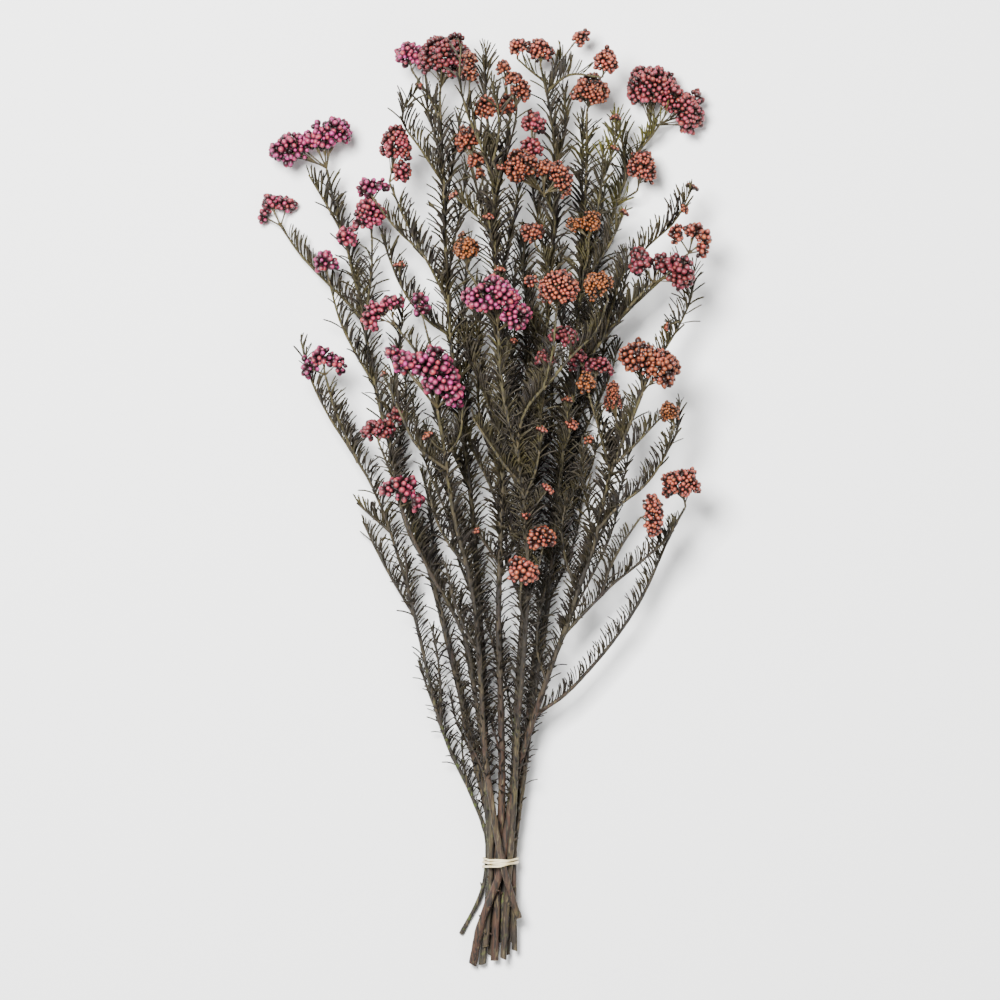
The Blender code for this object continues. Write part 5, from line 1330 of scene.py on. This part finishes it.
def leaf_finish():
    """Preserved leaf, soft and matt: brown-black to olive, yellow-green where young, with painted shade
    darkening it low down.
    """
    made, tree = finish("preserved_needle_leaf", 0.62, Specular_IOR_Level=0.3)
    colour = laid(tree, mark(tree, "tone"), linear("#1b1614"), "#363026")
    colour = laid(tree, patches(tree, 14, 0.45, 0.7), colour, "#3a341b")
    colour = laid(tree, mark(tree, "youth"), colour, "#565318")
    colour = laid(tree, patches(tree, 2.2, 0.5, 0.72), colour, "#130f0e")
    # Painted shade: the leaves darken towards the lower part of the bunch, where they lie densest
    where = add(tree, "SeparateXYZ", {"Vector": add(tree, "TexCoord").outputs["Object"]}).outputs["Y"]
    painted_low_shade = add(tree, "MapRange", {"Value": where, "From Min": 0.05, "From Max": -0.12, "To Max": 0.55})
    colour = laid(tree, painted_low_shade.outputs[0], colour, "#16100e")
    colour = laid(tree, spread(tree, mark(tree, "length"), 0.22, 0.0), colour, "#3c3520")
    return coloured(made, colour, noise(tree, 0.5), 0.06)


def bud_finish(name, deep, middle, pale, highlight_blush):
    """Papery scales shut over a bud: satin, of mixed hues, with painted shade low on each bud and between the
    buds, and a painted highlight on top where they bow out.
    """
    made, tree = finish("papery_" + name + "_bud", 0.42, Specular_IOR_Level=0.42)
    # The painted highlight on top of each bud, mixed from pale to blush by the bud's tone
    colour = laid(tree, mark(tree, "tone"), linear(pale), highlight_blush)
    # Painted highlight at the very top, the bud's own middle colour below it, and painted shade at its foot
    # and in the gaps
    colour = laid(tree, spread(tree, mark(tree, "height"), 1.0, 0.74), colour, middle)
    colour = laid(tree, spread(tree, mark(tree, "height"), 0.76, 0.48), colour, deep)
    colour = laid(tree, patches(tree, 1.1, 0.55, 0.75), colour, middle)
    return coloured(made, colour, noise(tree, 0.9), 0.25)


def stalk_finish():
    """Thin dry stalks, olive with a brown cast and a faint waxy shine."""
    made, tree = finish("dried_olive_stalk", 0.6)
    colour = laid(tree, patches(tree, 4, 0.35, 0.65), linear("#393224"), "#50472b")
    return coloured(made, laid(tree, patches(tree, 1.2, 0.55, 0.7), colour, "#3a2c20"))


def cut_wood_finish():
    """Wood cut across with shears: pale and fibrous, browned by drying."""
    made, tree = finish("shear_cut_wood", 0.85)
    colour = laid(tree, patches(tree, 0.5, 0.4, 0.65), linear("#6a5a41"), "#8c7b5c")
    colour = laid(tree, patches(tree, 2.5, 0.5, 0.7), colour, "#4b472f")
    return coloured(made, colour, noise(tree, 0.35), 0.15)


def rubber_finish():
    """Natural rubber band, moulded and cut: cream, a little yellowed, with a dull skin."""
    made, tree = finish("natural_rubber", 0.5, 1.52)
    colour = laid(tree, patches(tree, 6, 0.4, 0.65), linear("#d9cba8"), "#c4b078")
    return coloured(made, colour, noise(tree, 0.6, (4, 1, 4)), 0.05)


BARK = bark_finish()
LEAF = leaf_finish()
STALK = stalk_finish()
CUT_WOOD = cut_wood_finish()
RUBBER = rubber_finish()
BUDS = {name: bud_finish(name, *codes) for name, codes in BUD_COLOURS.items()}


# The bunch


runs = lay_out_runs()
lobes = [lobe for head, (_, *parts) in HEADS.items() for lobe in lobes_of(head, parts)]
ease_apart(runs, lobes)
lobes += [lobe for head, parts in JOINING_LOBES.items() for lobe in lobes_of(head, parts)]
for run in runs:
    smooth_route(run)
runs += filling_twigs(runs)
leaf = leaf_pattern()
patterns = bud_pattern(), small_bud_pattern(), stalklet_pattern()
for stem in STEMS:
    own = [run for run in runs if run.stem == stem]
    bark = bark_piece(stem, own)
    finish_piece(bark, "bark_and_needles", stem)
    finish_piece(leaves_piece(stem, own, lobes, leaf), "bark_and_needles")
    loose = loose_buds_piece(stem, own, patterns)
    if loose:
        finish_piece(loose, "rose_buds")
for head, (colour, *_) in HEADS.items():
    run = next(run for run in runs if run.bears == head)
    finish_piece(head_piece(head, colour, run, lobes, patterns), colour + "_buds", head)
finish_piece(tie_piece(runs), "tie", "tie_band")


# Studio


def floor():
    start_afresh()
    bpy.ops.mesh.primitive_plane_add(size=8)
    table = bpy.context.active_object
    table.name = "table"
    made, tree = finish("matt_white_paper", 0.9)
    tree.nodes["Principled BSDF"].inputs["Base Color"].default_value = linear("#f6f6f5")
    table.data.materials.append(made)


def softbox(place, size, power):
    start_afresh()
    bpy.ops.object.light_add(type="AREA", location=place)
    lamp = bpy.context.active_object
    lamp.data.shape = "RECTANGLE"
    lamp.data.size = size[0]
    lamp.data.size_y = size[1]
    lamp.data.energy = power
    lamp.rotation_euler = (Vector((0, 0, 0)) - Vector(place)).to_track_quat("-Z", "Y").to_euler()


def camera():
    """Straight above the bunch, as the photograph looks at it, with 630 mm of it across the picture."""
    start_afresh()
    lens, film_width, view_width, high = 200, 36, 0.63, 0.05
    away = view_width * lens / film_width
    bpy.ops.object.camera_add(location=(0.011, -0.0006, away + high), rotation=(0, 0, 0))
    viewer = bpy.context.active_object
    viewer.data.lens = lens
    viewer.data.clip_end = 20
    bpy.context.scene.camera = viewer


def surroundings():
    world = bpy.data.worlds.new("studio")
    bpy.context.scene.world = world
    world.use_nodes = True
    background = world.node_tree.nodes["Background"]
    background.inputs["Color"].default_value = linear("#f7f8fa")
    background.inputs["Strength"].default_value = 0.4


floor()
surroundings()
softbox(place=(-0.5, 0.6, 2.1), size=(0.7, 0.7), power=195)
softbox(place=(1.1, -0.5, 1.6), size=(1.0, 1.0), power=12)
camera()
